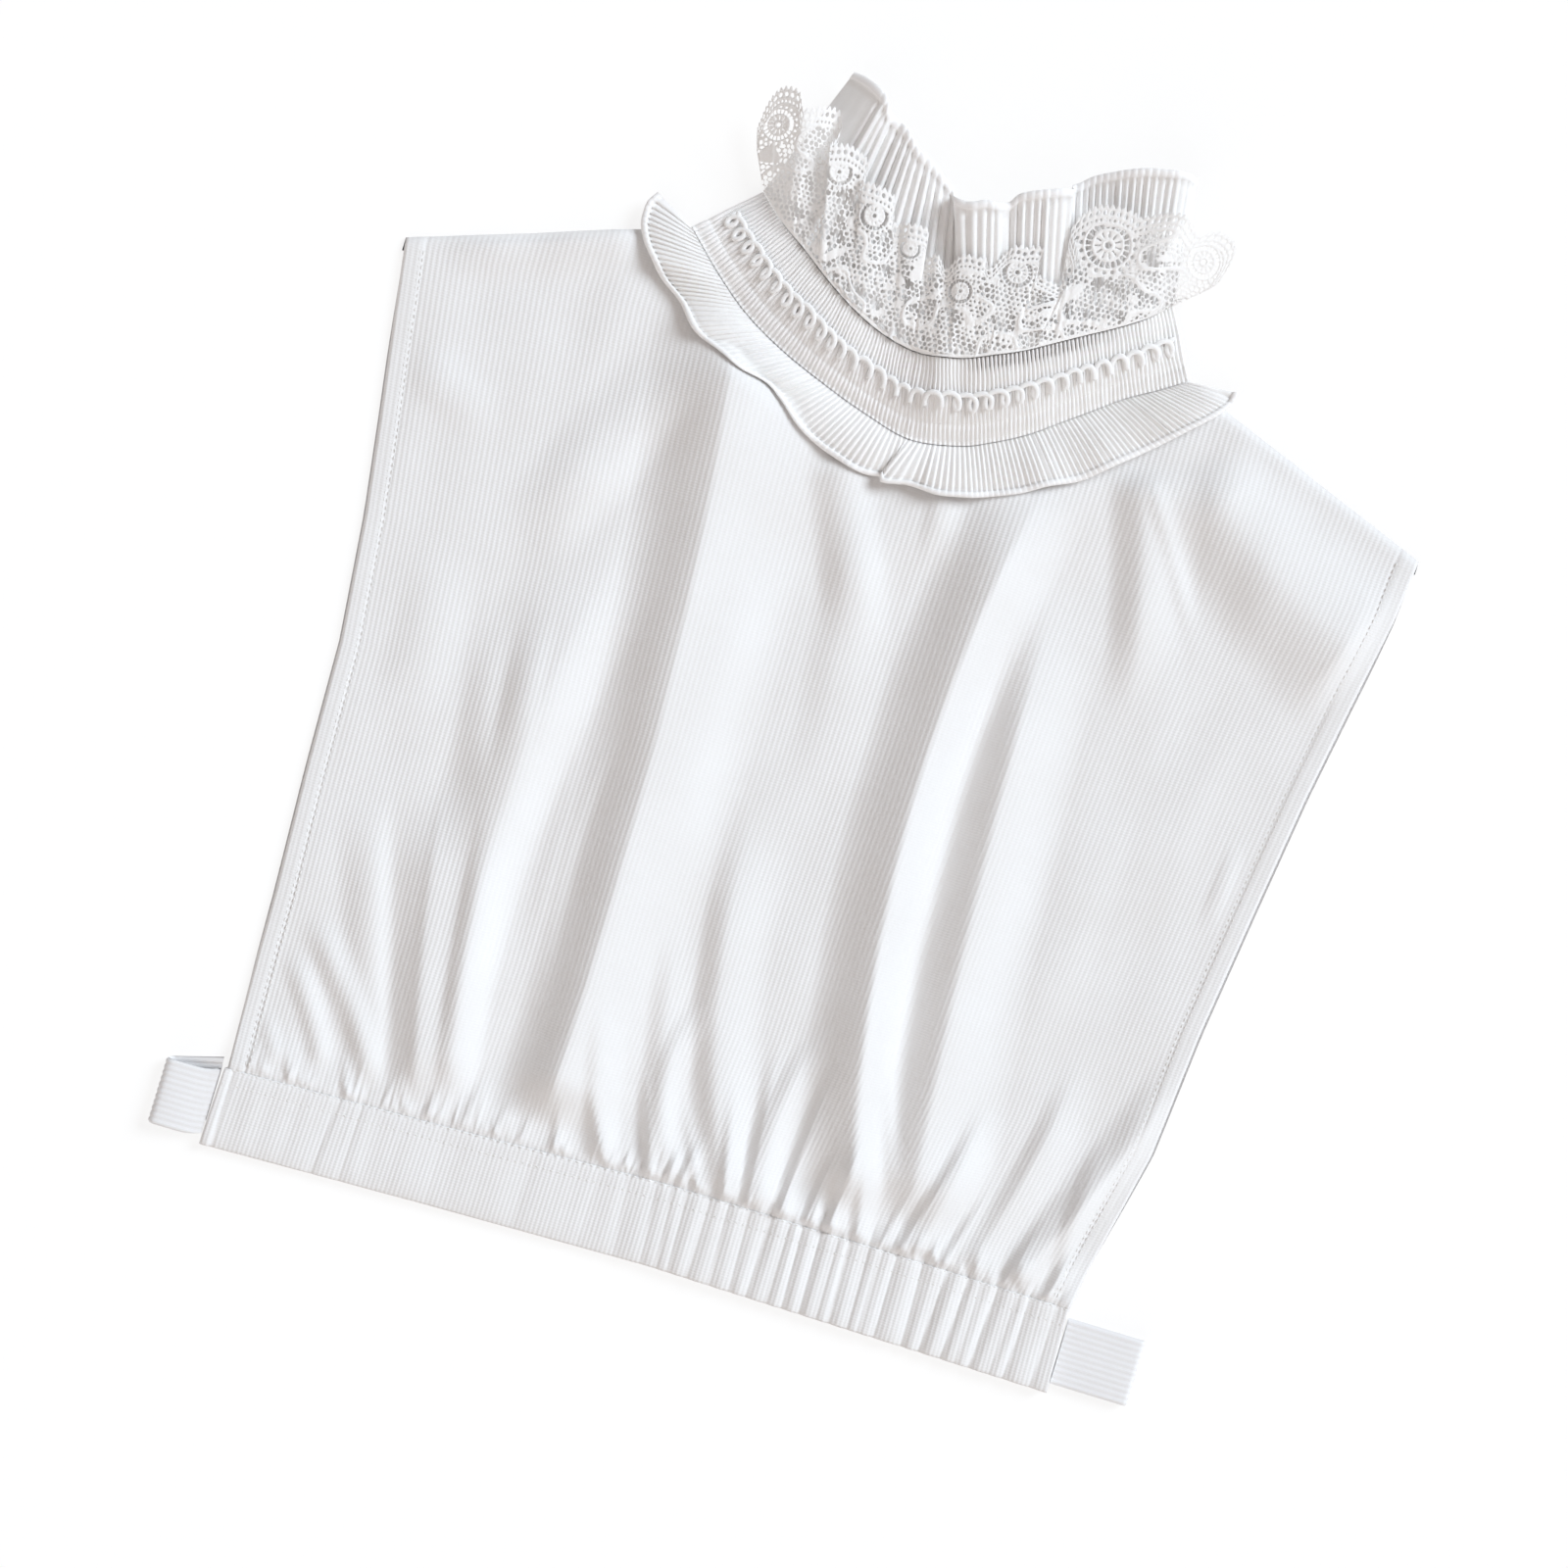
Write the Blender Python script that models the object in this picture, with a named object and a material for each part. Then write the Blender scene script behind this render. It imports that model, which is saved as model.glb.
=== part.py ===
"""A white dickey, a false blouse front and back with a frilled stand collar, laid flat.

X runs to the right, Y up the front towards the collar and Z up off the table. The origin is
on the table, under the middle of the garment. Tables are in millimetres and degrees, and the
mesh is scaled to metres as it is made.

The back half lies flat on the table: back panel, back casing, and the back half of each ring
of the collar. The front half lies on it: front panel with its folds and gathers, front casing
with its elastic gathers, and the front half of the collar, which arches up in two humps.
"""
import math

import bmesh
import bpy
from mathutils import Vector
from mathutils.bvhtree import BVHTree

MM = 0.001
PLAN_CENTRE = (-0.15, -0.85)   # middle of the outline in the tables' millimetres

# ---------------------------------------------------------------- driving sizes, millimetres
GAP = 0.3                 # between two pieces at a seam, or one lying on another
CLOTH = 1.1               # body cloth
CASING_CLOTH = 2.4        # casing: cloth, elastic and cloth again
STRIP_CLOTH = 1.6         # pleated collar strip, its pleats pressed over each other
RUFFLE_CLOTH = 1.2        # single pleated cloth of the two ruffles
LACE_CLOTH = 1.0
HEM_WIDTH = 7.5           # turned side hem of an armhole
HEM_RISE = 0.6            # what the turning adds to the cloth
ELASTIC_WIDTH = 25.0
ELASTIC_CLOTH = 1.3
LEFT_LOOP_REACH = 21.0    # how far the elastic stands out of the casing
RIGHT_LOOP_REACH = 30.5
TRIM_CORD = 1.9           # cord of the looped braid

STRIP_PLEATS = 64         # pleats round the front half of the stand and of the lower ruffle
TOP_PLEATS = 44           # wider pleats of the top ruffle, front half
LACE_FLUTES = 11          # waves of the lace, front half
RUFFLE_WAVES = 10         # waves of the lower ruffle's free edge, front half
TOP_WAVES = 8             # waves of the top ruffle's free edge, front half
TRIM_WAVES = 30           # turns of the braid, front half

# ---------------------------------------------------------------- levels above the table
BACK_RISE = CLOTH + 2 * GAP          # back panel over the back half of the lower ruffle
RISE_PLATEAU = 28.0                  # from the neck seam: the back ruffle lies under the panel
RISE_FADE = 34.0                     # and past it the panel comes down to the table
PANEL_SLACK = 0.3                    # front panel over the back one, besides the gap
HEM_LIFT = 1.3                       # front panel up to the middle of the front casing
NECK_TOP = BACK_RISE + CLOTH + GAP + PANEL_SLACK + CLOTH     # top of the panels at the neck
SEAM_TOP = NECK_TOP + GAP + STRIP_CLOTH                      # outer face of the strip there

# ---------------------------------------------------------------- outline
# Side edges at a height y: the armhole edge of the front, left and right.
SIDES = (
    # y, left x, right x
    (118.0, -197.3, 197.6),
    (88.0, -192.8, 194.6),
    (52.0, -187.2, 188.4),
    (16.0, -181.9, 182.5),
    (-32.0, -176.9, 176.2),
    (-80.0, -175.4, 170.2),
    (-128.0, -173.1, 166.0),
    (-194.0, -170.8, 152.6),
)
# Line of stitching between panel and casing, and the lower edge of the casing.
WAIST = (
    # x, stitch line y, lower edge y
    (-173.0, -195.7, -225.5),
    (-90.0, -192.9, -222.8),
    (0.0, -189.2, -220.5),
    (70.0, -189.5, -221.4),
    (155.0, -190.3, -222.4),
)
LEFT_SHOULDER = (-197.3, 118.0)
RIGHT_SHOULDER = (197.6, 112.0)

# Stations round the front half of the collar, from its left side to its right side. Each is a
# section across the collar: neck seam, lace foot, lace edge, top edge, lower ruffle's hem.
COLLAR = (
    # seam x, y | foot x, y, z | lace x, y | top x, y, z | hem x, y, z
    (-96.8, 152.0, -75.3, 172.4, 5.0, -84.0, 192.0, -55.7, 223.8, 4.7, -112.6, 160.7, 4.2),
    (-82.9, 138.8, -65.0, 162.6, 10.0, -72.0, 206.0, -47.6, 220.8, 15.0, -108.7, 137.6, 11.0),
    (-68.0, 127.0, -53.3, 154.4, 12.6, -58.0, 204.0, -40.6, 215.7, 18.0, -89.6, 121.6, 12.4),
    (-51.3, 117.9, -41.7, 146.0, 13.6, -46.5, 196.0, -34.4, 210.2, 16.2, -68.8, 107.9, 14.4),
    (-33.6, 110.7, -29.4, 138.7, 13.0, -34.5, 186.0, -27.3, 205.1, 17.0, -45.8, 98.2, 12.9),
    (-15.5, 104.5, -16.1, 133.4, 11.0, -20.0, 177.0, -20.2, 200.4, 14.0, -23.8, 86.5, 11.0),
    (3.0, 100.1, -2.1, 130.9, 10.6, -7.0, 169.5, -12.7, 195.9, 11.0, 1.3, 83.1, 10.8),
    (21.6, 103.1, 12.0, 133.0, 16.0, 8.0, 172.0, -4.8, 189.7, 16.0, 26.8, 84.6, 14.0),
    (33.2, 108.1, 23.0, 137.3, 18.0, 22.0, 181.0, 7.8, 190.4, 24.0, 42.0, 90.1, 12.7),
    (44.2, 114.3, 33.8, 142.3, 18.0, 33.0, 185.0, 18.8, 197.9, 23.0, 56.4, 97.7, 14.0),
    (54.4, 121.9, 44.0, 148.4, 17.0, 43.0, 192.0, 30.1, 203.1, 23.5, 70.4, 105.7, 12.5),
    (64.4, 129.5, 54.1, 154.6, 15.4, 56.0, 202.0, 40.0, 210.7, 17.0, 82.8, 116.3, 13.4),
    (74.4, 137.2, 64.2, 160.8, 13.4, 74.0, 207.0, 51.0, 216.4, 20.0, 94.8, 127.2, 13.0),
    (85.2, 143.8, 73.9, 167.7, 10.4, 90.0, 204.0, 64.3, 220.2, 19.0, 106.4, 138.5, 12.0),
    (95.8, 150.7, 82.4, 176.0, 5.0, 96.0, 190.0, 76.9, 222.6, 4.7, 114.5, 152.0, 4.2),
)
SEAM, FOOT, LACE_EDGE, TOP, HEM = (0, 1), (2, 3, 4), (5, 6), (7, 8, 9), (10, 11, 12)
TRIM_AT = 0.45            # the braid's place between the neck seam and the lace foot
NECK_TUCK = 1.0           # neck edge of the front panel, under the collar strip

# ---------------------------------------------------------------- folds and gathers
# Large soft folds of the front panel: a ridge along a bend through three points.
FOLDS = (
    # x0, y0 (upper end), x1, y1 (bend), x2, y2 (lower end), height, left flank, right flank,
    # length of the upper and of the lower run-out as shares of the fold
    (-66.0, 104.0, -55.0, -12.0, -52.0, -178.0, 12.5, 27.0, 24.0, 0.25, 0.15),
    (55.0, 95.0, 43.0, -30.0, 66.0, -176.0, 11.5, 21.0, 16.0, 0.25, 0.15),
    (72.0, 60.0, 75.5, -50.0, 87.0, -168.0, 8.0, 15.0, 18.0, 0.30, 0.20),
    (104.0, 122.0, 142.0, 96.0, 188.0, 78.0, 8.0, 28.0, 32.0, 0.25, 0.25),
    (88.0, 114.0, 102.0, 70.0, 112.0, 22.0, 5.0, 13.0, 14.0, 0.12, 0.45),
    (-88.0, 40.0, -101.0, -62.0, -89.0, -182.0, 7.0, 22.0, 13.0, 0.35, 0.15),
    (-126.0, -62.0, -116.0, -124.0, -101.0, -188.0, 5.0, 15.0, 11.0, 0.35, 0.12),
    (-150.0, -82.0, -137.0, -124.0, -117.0, -188.0, 2.4, 12.0, 8.0, 0.40, 0.15),
    (-160.0, -131.0, -138.0, -155.0, -117.0, -187.0, 2.8, 7.0, 7.0, 0.35, 0.12),
    (-163.0, -146.0, -149.0, -164.0, -137.0, -186.0, 2.2, 5.5, 5.5, 0.40, 0.15),
    (-12.0, -48.0, -4.0, -120.0, 20.0, -186.0, 4.0, 9.0, 11.0, 0.35, 0.12),
    (-26.0, -90.0, -20.0, -138.0, -8.0, -186.0, 2.4, 6.5, 8.0, 0.40, 0.12),
    (-97.0, 90.0, -113.0, 52.0, -131.0, 14.0, 3.2, 18.0, 18.0, 0.40, 0.40),
    (-21.0, 88.0, -6.0, 54.0, 9.0, 16.0, 3.2, 13.0, 13.0, 0.12, 0.45),
    (22.0, 88.0, 22.0, 74.0, 24.0, 54.0, 1.8, 6.0, 9.0, 0.15, 0.60),
    (169.0, -64.0, 160.0, -130.0, 135.0, -186.0, 4.6, 9.0, 9.0, 0.35, 0.12),
    (129.0, -108.0, 124.0, -146.0, 118.0, -188.0, 2.8, 5.5, 9.0, 0.40, 0.12),
    (101.0, -138.0, 99.0, -162.0, 98.0, -188.0, 2.6, 6.0, 8.0, 0.45, 0.12),
)
# Short gathers that run up from the casing stitching.
GATHERS = (
    # x at the stitching, length, lean of the upper end, height
    (-96.0, 14.0, 4.0, 1.4),
    (-82.0, 24.0, 5.0, 1.7),
    (-70.0, 18.0, 4.0, 1.5),
    (-46.0, 18.0, -4.0, 1.6),
    (-26.0, 22.0, -13.0, 2.0),
    (-9.0, 30.0, -13.0, 2.2),
    (9.0, 17.0, -12.0, 2.0),
    (26.0, 50.0, -5.0, 2.8),
    (39.0, 48.0, 4.0, 3.0),
    (48.0, 20.0, 3.0, 1.8),
    (58.0, 28.0, 2.0, 2.4),
    (70.0, 30.0, -4.0, 2.2),
    (82.0, 44.0, -14.0, 2.2),
    (109.0, 26.0, 3.0, 2.2),
    (141.0, 17.0, 5.0, 2.2),
)
GATHER_WIDTH = 6.0
# Creases between the elastic gathers of the front casing, on its right part.
CASING_CREASES = (
    -5.0, 1.0, 6.0, 14.0, 22.0, 30.0, 37.5, 45.0, 50.5, 57.5, 64.0, 68.5, 76.0, 86.5,
    97.0, 105.0, 113.5, 124.5, 137.5, 148.0,
)
GATHER_RISE = 1.7         # height of a casing gather

# ---------------------------------------------------------------- grids
LEFT_COLUMNS = 34         # of the front panel, left of the elastic gathers
PANEL_ROWS = (0.0, 0.018, 0.045, 0.08, 0.125, 0.18, 0.24, 0.31, 0.38, 0.45, 0.52, 0.59,
              0.66, 0.73, 0.80, 0.86, 0.915, 0.96, 1.0)
BACK_COLUMNS = 26
BACK_ROWS = (0.0, 0.12, 0.3, 0.5, 0.64, 0.74, 0.82, 0.89, 0.95, 1.0)
BACK_RING_COLUMNS = 28
STAND_ROWS = (0.0, 0.5, 1.0)
RUFFLE_ROWS = (0.0, 0.35, 0.7, 1.0)
TOP_ROWS = (0.0, 0.45, 0.8, 1.0)
LACE_ROWS = (0.0, 0.4, 0.75, 1.0)
CASING_ROWS = (0.0, 0.12, 0.88, 1.0)

# ---------------------------------------------------------------- colours
WHITE = (0.86, 0.855, 0.85, 1.0)
LACE_WHITE = (0.84, 0.835, 0.82, 1.0)
ELASTIC_WHITE = (0.83, 0.84, 0.85, 1.0)


def clear_scene():
    """Start from an empty file."""
    for obj in list(bpy.data.objects):
        bpy.data.objects.remove(obj, do_unlink=True)


def make_collection(name):
    """A collection for the garment's pieces."""
    collection = bpy.data.collections.new(name)
    bpy.context.scene.collection.children.link(collection)
    return collection


def make_material(name, colour, roughness):
    """A matt cloth material."""
    material = bpy.data.materials.new(name)
    material.use_nodes = True
    shader = material.node_tree.nodes["Principled BSDF"]
    shader.inputs["Base Color"].default_value = colour
    shader.inputs["Roughness"].default_value = roughness
    shader.inputs["Metallic"].default_value = 0.0
    material.diffuse_color = colour
    return material


def to_metres(point):
    """A point of the tables in metres, with the garment centred over the origin."""
    x, y, z = point
    return Vector((x - PLAN_CENTRE[0], y - PLAN_CENTRE[1], z)) * MM


def to_millimetres(place):
    """The reverse of to_metres."""
    return place.x / MM + PLAN_CENTRE[0], place.y / MM + PLAN_CENTRE[1], place.z / MM


# ================================================================ small curve helpers
def smoothstep(value):
    """0 to 1 with level ends."""
    t = min(1.0, max(0.0, value))
    return t * t * (3.0 - 2.0 * t)


def table_curve(rows, key, at, columns):
    """Values of a table's columns where its key column, rising or falling, is `at`."""
    rising = rows[-1][key] > rows[0][key]
    ordered = rows if rising else rows[::-1]
    if at <= ordered[0][key]:
        return [ordered[0][c] for c in columns]
    for lower, upper in zip(ordered, ordered[1:]):
        if at <= upper[key]:
            t = (at - lower[key]) / (upper[key] - lower[key])
            return [lower[c] + t * (upper[c] - lower[c]) for c in columns]
    return [ordered[-1][c] for c in columns]


def rail(columns, s):
    """Point on a line along the collar: a Catmull-Rom curve through the stations."""
    last = len(COLLAR) - 1
    place = min(max(s, 0.0), 1.0) * last
    i = min(int(place), last - 1)
    t = place - i
    rows = [COLLAR[min(max(j, 0), last)] for j in (i - 1, i, i + 1, i + 2)]
    point = []
    for c in columns:
        a, b, d, e = (row[c] for row in rows)
        point.append(0.5 * (2 * b + (d - a) * t + (2 * a - 5 * b + 4 * d - e) * t * t
                            + (3 * b - a - 3 * d + e) * t ** 3))
    return point


def bend_points(x0, y0, x1, y1, x2, y2, steps=10):
    """Points of a smooth bend that passes through its middle point."""
    cx, cy = 2 * x1 - 0.5 * (x0 + x2), 2 * y1 - 0.5 * (y0 + y2)
    points = []
    for k in range(steps + 1):
        t = k / steps
        a, b, c = (1 - t) ** 2, 2 * t * (1 - t), t * t
        points.append((a * x0 + b * cx + c * x2, a * y0 + b * cy + c * y2))
    return points


def nearest_on(points, x, y):
    """Share along a line, signed distance (left is negative) from it, for a point."""
    best = None
    for k, ((ax, ay), (bx, by)) in enumerate(zip(points, points[1:])):
        dx, dy = bx - ax, by - ay
        t = min(1.0, max(0.0, ((x - ax) * dx + (y - ay) * dy) / (dx * dx + dy * dy)))
        ex, ey = x - ax - t * dx, y - ay - t * dy
        distance = math.hypot(ex, ey)
        if best is None or distance < best[0]:
            side = 1.0 if dx * ey - dy * ex > 0 else -1.0
            best = (distance, (k + t) / (len(points) - 1), side)
    return best[1], best[0] * best[2]


# ================================================================ heights of the body cloth
FOLD_LINES = [(bend_points(*row[:6]), row[6:]) for row in FOLDS]
SEAM_LINE = [tuple(rail(SEAM, k / 28)) for k in range(29)]


def fold_height(x, y):
    """Height that the large folds add to the front panel."""
    height = 0.0
    for points, (rise, left, right, upper, lower) in FOLD_LINES:
        share, distance = nearest_on(points, x, y)
        reach = left if distance < 0 else right
        if abs(distance) < reach:
            run_out = smoothstep(share / upper) * smoothstep((1.0 - share) / lower)
            height += rise * run_out * math.cos(0.5 * math.pi * distance / reach) ** 2
    return height


def casing_bump(x):
    """0 in a crease of the elastic gathers, 1 between two of them."""
    for a, b in zip(CASING_CREASES, CASING_CREASES[1:]):
        if a <= x <= b:
            return math.sin(math.pi * (x - a) / (b - a)) ** 0.8
    before = 0.5 * smoothstep(1.0 - abs(x - CASING_CREASES[0]) / 12.0)
    return before if x < CASING_CREASES[0] else 0.3


def gather_height(x, y, above):
    """Height of the short gathers, `above` millimetres up from the stitching."""
    height = 0.0
    for foot_x, length, lean, rise in GATHERS:
        share = above / length
        if share < 1.0:
            middle = foot_x + lean * share
            width = GATHER_WIDTH * (1.0 + 0.6 * share)
            if abs(x - middle) < width:
                wave = math.cos(0.5 * math.pi * (x - middle) / width) ** 2
                height += rise * wave * smoothstep((1.0 - share) * 1.3)
    return height


def seam_distance(x, y):
    """How far a point of the plan is from the neck seam."""
    return min(math.hypot(x - px, y - py) for px, py in SEAM_LINE)


def neck_rise(x, y):
    """How far the back panel lies up, on the back half of the lower ruffle."""
    beyond = seam_distance(x, y) - RISE_PLATEAU
    return BACK_RISE * smoothstep(1.0 - beyond / RISE_FADE)


def top_line(x):
    """Upper edge of a panel at x: shoulder, neck seam, shoulder."""
    corners = [LEFT_SHOULDER] + SEAM_LINE + [RIGHT_SHOULDER]
    return table_curve(corners, 0, x, (1,))[0]


def panel_point(u, v, tuck):
    """Place in the plan of a panel: u across, v from the stitching to the top edge."""
    hem_x = SIDES[-1][1] + u * (SIDES[-1][2] - SIDES[-1][1])
    top_x = LEFT_SHOULDER[0] + u * (RIGHT_SHOULDER[0] - LEFT_SHOULDER[0])
    low = table_curve(WAIST, 0, hem_x, (1,))[0] + 0.5 * GAP
    high = top_line(top_x)
    if SEAM_LINE[0][0] < top_x < SEAM_LINE[-1][0]:
        high += tuck
    y = low + v * (high - low)
    left, right = table_curve(SIDES, 0, y, (1, 2))
    return left + u * (right - left), y, y - low


# ================================================================ cloth walls
def cloth_wall(name, columns, rows, outer, inner, material, collection):
    """A closed cloth: a grid bent to its outer face, extruded to its inner face.

    outer(u, v) and inner(u, v) give points in millimetres for each column u and row v.
    """
    mesh = bpy.data.meshes.new(name)
    bm = bmesh.new()
    across, up = len(columns) - 1, len(rows) - 1
    bmesh.ops.create_grid(bm, x_segments=across, y_segments=up, size=1.0)
    place = {}
    for vert in bm.verts:
        i = round((vert.co.x + 1.0) * 0.5 * across)
        j = round((vert.co.y + 1.0) * 0.5 * up)
        place[vert] = (columns[i], rows[j])
    face_verts = list(bm.verts)
    result = bmesh.ops.extrude_face_region(bm, geom=list(bm.faces), use_keep_orig=True)
    lifted = [item for item in result["geom"] if isinstance(item, bmesh.types.BMVert)]
    by_co = {(round(v.co.x, 5), round(v.co.y, 5)): place[v] for v in face_verts}
    for vert in lifted:
        u, v = by_co[(round(vert.co.x, 5), round(vert.co.y, 5))]
        vert.co = to_metres(outer(u, v))
    for vert in face_verts:
        vert.co = to_metres(inner(*place[vert]))
    bmesh.ops.recalc_face_normals(bm, faces=list(bm.faces))
    bm.to_mesh(mesh)
    bm.free()
    mesh.shade_smooth()
    obj = bpy.data.objects.new(name, mesh)
    obj.data.materials.append(material)
    collection.objects.link(obj)
    return obj


def even(count, first=0.0, last=1.0):
    """count + 1 evenly spaced shares."""
    return [first + (last - first) * k / count for k in range(count + 1)]


def surface_of(*objects):
    """What lies below, as one searchable surface in millimetres."""
    verts, faces = [], []
    for obj in objects:
        base = len(verts)
        verts += [to_millimetres(v.co) for v in obj.data.vertices]
        faces += [tuple(base + i for i in p.vertices) for p in obj.data.polygons]
    return BVHTree.FromPolygons(verts, faces)


def lowest_clear(below, x, y, reach=1.2):
    """Lowest z that keeps clear of a surface at x, y and close round it."""
    top = 0.0
    for dx, dy in ((0, 0), (reach, 0), (-reach, 0), (0, reach), (0, -reach)):
        hit = below.ray_cast(Vector((x + dx, y + dy, 80.0)), Vector((0, 0, -1)))[0]
        if hit is not None:
            top = max(top, hit.z)
    return top + GAP


# ================================================================ panels and casings
def panel_columns():
    """Columns that fall on the casing's creases, and between them, at the right."""
    width = SIDES[-1][2] - SIDES[-1][1]
    shares = [(x - SIDES[-1][1]) / width for x in CASING_CREASES]
    columns = even(LEFT_COLUMNS, 0.0, shares[0])
    for a, b in zip(shares, shares[1:]):
        columns += [0.5 * (a + b), b]
    hem = HEM_WIDTH / width
    columns = [u for u in columns if u > 1.3 * hem and u < 1.0 - 1.3 * hem or u == 0.0]
    return sorted(columns + [hem, 1.15 * hem, 1.0 - 1.15 * hem, 1.0 - hem, 1.0])


def front_panel_lower(u, v):
    """Under side of the front panel."""
    x, y, above = panel_point(u, v, NECK_TUCK)
    z = CLOTH + GAP + PANEL_SLACK + neck_rise(x, y)
    edge = min(u, 1.0 - u) * (SIDES[0][2] - SIDES[0][1])
    settle = smoothstep(0.25 + 0.75 * edge / 16.0) * smoothstep((seam_distance(x, y) - 4.0) / 16.0)
    z += settle * (fold_height(x, y) + gather_height(x, y, above))
    near_hem = smoothstep(1.0 - above / 26.0)
    z += near_hem * HEM_LIFT
    z += 0.9 * GATHER_RISE * casing_bump(x) * smoothstep(1.0 - above / 14.0)
    return x, y, z


def front_panel_upper(u, v):
    """Outer face of the front panel, with its turned side hems."""
    x, y, z = front_panel_lower(u, v)
    hem = HEM_WIDTH / (SIDES[-1][2] - SIDES[-1][1])
    turned = HEM_RISE if min(u, 1.0 - u) <= hem * 1.05 else 0.0
    return x, y, z + CLOTH + turned


def back_panel_lower(u, v):
    """Under side of the back panel: flat on the table but for the rise at the neck."""
    x, y, _ = panel_point(u, v, -0.5 * GAP)
    peep = 1.4 * (1.0 - 2.0 * u) if u < 0.5 else 1.2 * (1.0 - 2.0 * u)
    side = smoothstep(1.0 - min(u, 1.0 - u) / 0.1)
    return x - peep * side * smoothstep(4.0 * v) * smoothstep(6.0 * (1.0 - v)), y, neck_rise(x, y)


def back_panel_upper(u, v):
    """Inner face of the back panel."""
    x, y, z = back_panel_lower(u, v)
    return x, y, z + CLOTH


def casing_point(u, v):
    """Place in the plan of a casing: u across, v from its lower edge to the stitching."""
    left = SIDES[-1][1] - 2.0 + 1.2 * v
    right = SIDES[-1][2] + 1.4 - 1.2 * v
    x = left + u * (right - left)
    stitch, low = table_curve(WAIST, 0, x, (1, 2))
    return x, low + v * (stitch - 0.5 * GAP - low)


def front_casing_lower(u, v):
    """Under side of the front casing: plain."""
    x, y = casing_point(u, v)
    return x, y, CASING_CLOTH + GAP


def front_casing_upper(u, v):
    """Outer face of the front casing, gathered over its elastic at the right."""
    x, y, z = front_casing_lower(u, v)
    rounded = 0.7 * (1.0 - math.sin(math.pi * min(max(v, 0.0), 1.0)))
    return x, y, z + CASING_CLOTH + GATHER_RISE * casing_bump(x) - rounded


def back_casing_lower(u, v):
    """Under side of the back casing, on the table."""
    x, y = casing_point(u, v)
    return x, y, 0.0


def back_casing_upper(u, v):
    """Inner face of the back casing."""
    x, y, z = back_casing_lower(u, v)
    return x, y, z + CASING_CLOTH


def elastic_loop(name, side, start_x, reach, bulge, material, collection):
    """Elastic that leaves the front casing, turns back and goes into the back casing.

    side is -1 at the left and +1 at the right. bulge lifts the front layer of the loop.
    """
    low_z = 0.5 * (CASING_CLOTH - ELASTIC_CLOTH)
    high_z = CASING_CLOTH + GAP + low_z
    stitch, low = table_curve(WAIST, 0, start_x, (1, 2))
    middle_y = 0.5 * (stitch + low)
    path = []
    half_turn = 0.5 * (high_z + bulge - low_z)
    run = reach - half_turn - ELASTIC_CLOTH
    for share in even(5):
        path.append((run * share, low_z))
    for k in range(1, 8):
        angle = -0.5 * math.pi + math.pi * k / 8
        path.append((run + half_turn * math.cos(angle), low_z + half_turn * (1 + math.sin(angle))))
    for share in even(5):
        path.append((run * (1.0 - share), high_z + bulge * math.sin(0.5 * math.pi * (1 - share))))
    columns = even(len(path) - 1)

    def layer(u, v, offset):
        """A point of the band, offset from its path to one face."""
        i = round(u * (len(path) - 1))
        ax, az = path[max(i - 1, 0)]
        bx, bz = path[min(i + 1, len(path) - 1)]
        long = math.hypot(bx - ax, bz - az)
        nx, nz = (bz - az) / long, -(bx - ax) / long
        x, z = path[i][0] + offset * nx, path[i][1] + offset * nz
        # The front layer sits a little lower on the casing than the back layer.
        shift = 4.0 * smoothstep((x - 2.0) / reach) if side < 0 and z > low_z + 2.0 else 0.0
        y = middle_y + (v - 0.5) * ELASTIC_WIDTH - 0.5 * shift
        return start_x + side * (GAP + x), y, z + 0.5 * ELASTIC_CLOTH

    return cloth_wall(name, columns, even(1),
                      lambda u, v: layer(u, v, 0.5 * ELASTIC_CLOTH),
                      lambda u, v: layer(u, v, -0.5 * ELASTIC_CLOTH), material, collection)


# ================================================================ collar, back half
def across_collar(start, end, s, t):
    """Plan point between two lines of the collar."""
    ax, ay = rail(start, s)[:2]
    bx, by = rail(end, s)[:2]
    return ax + t * (bx - ax), ay + t * (by - ay)


def back_ring(name, start, end, first, last, z, thickness, material, collection):
    """A flat back half of one ring of the collar, between two shares of its depth."""
    def face(level):
        def point(u, v):
            s = 0.012 + 0.976 * u
            x, y = across_collar(start, end, s, first + v * (last - first))
            return x, y, level
        return point
    return cloth_wall(name, even(BACK_RING_COLUMNS), even(1), face(z + thickness), face(z),
                      material, collection)


# ================================================================ collar, front half
def strip_outer(s, t):
    """Smooth outer face of the collar strip: t is 0 at the neck seam and 1 at the lace foot."""
    fx, fy, fz = rail(FOOT, s)
    sx, sy = rail(SEAM, s)
    ease = math.sin(0.5 * math.pi * t)
    return sx + t * (fx - sx), sy + t * (fy - sy), SEAM_TOP + ease * (fz - SEAM_TOP)


def pleat(s, count):
    """+1 on the crest of a pleat and -1 in the groove beside it."""
    return math.cos(2.0 * math.pi * s * count)


def stand_outer(u, v):
    """Outer face of the stand, with its pleats."""
    x, y, z = strip_outer(u, v)
    return x, y + (0.5 - v) * GAP, z + 0.45 * pleat(u, STRIP_PLEATS)


def stand_inner(u, v):
    """Plain inner face of the stand."""
    x, y, z = strip_outer(u, v)
    return x, y + (0.5 - v) * GAP, z - STRIP_CLOTH


def top_outer(s, t):
    """Smooth outer face of the top ruffle, from the lace foot (0) to its free edge (1)."""
    fx, fy, fz = rail(FOOT, s)
    tx, ty, tz = rail(TOP, s)
    settle = smoothstep(min(s, 1.0 - s) * 12.0)
    wave = 2.4 * settle * t ** 2 * math.sin(2.0 * math.pi * TOP_WAVES * s)
    z = fz + t ** 1.4 * (tz - fz) + wave
    return fx + t * (tx - fx), fy + t * (ty - fy) + (1.0 - t) * 0.5 * GAP, z


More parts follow.
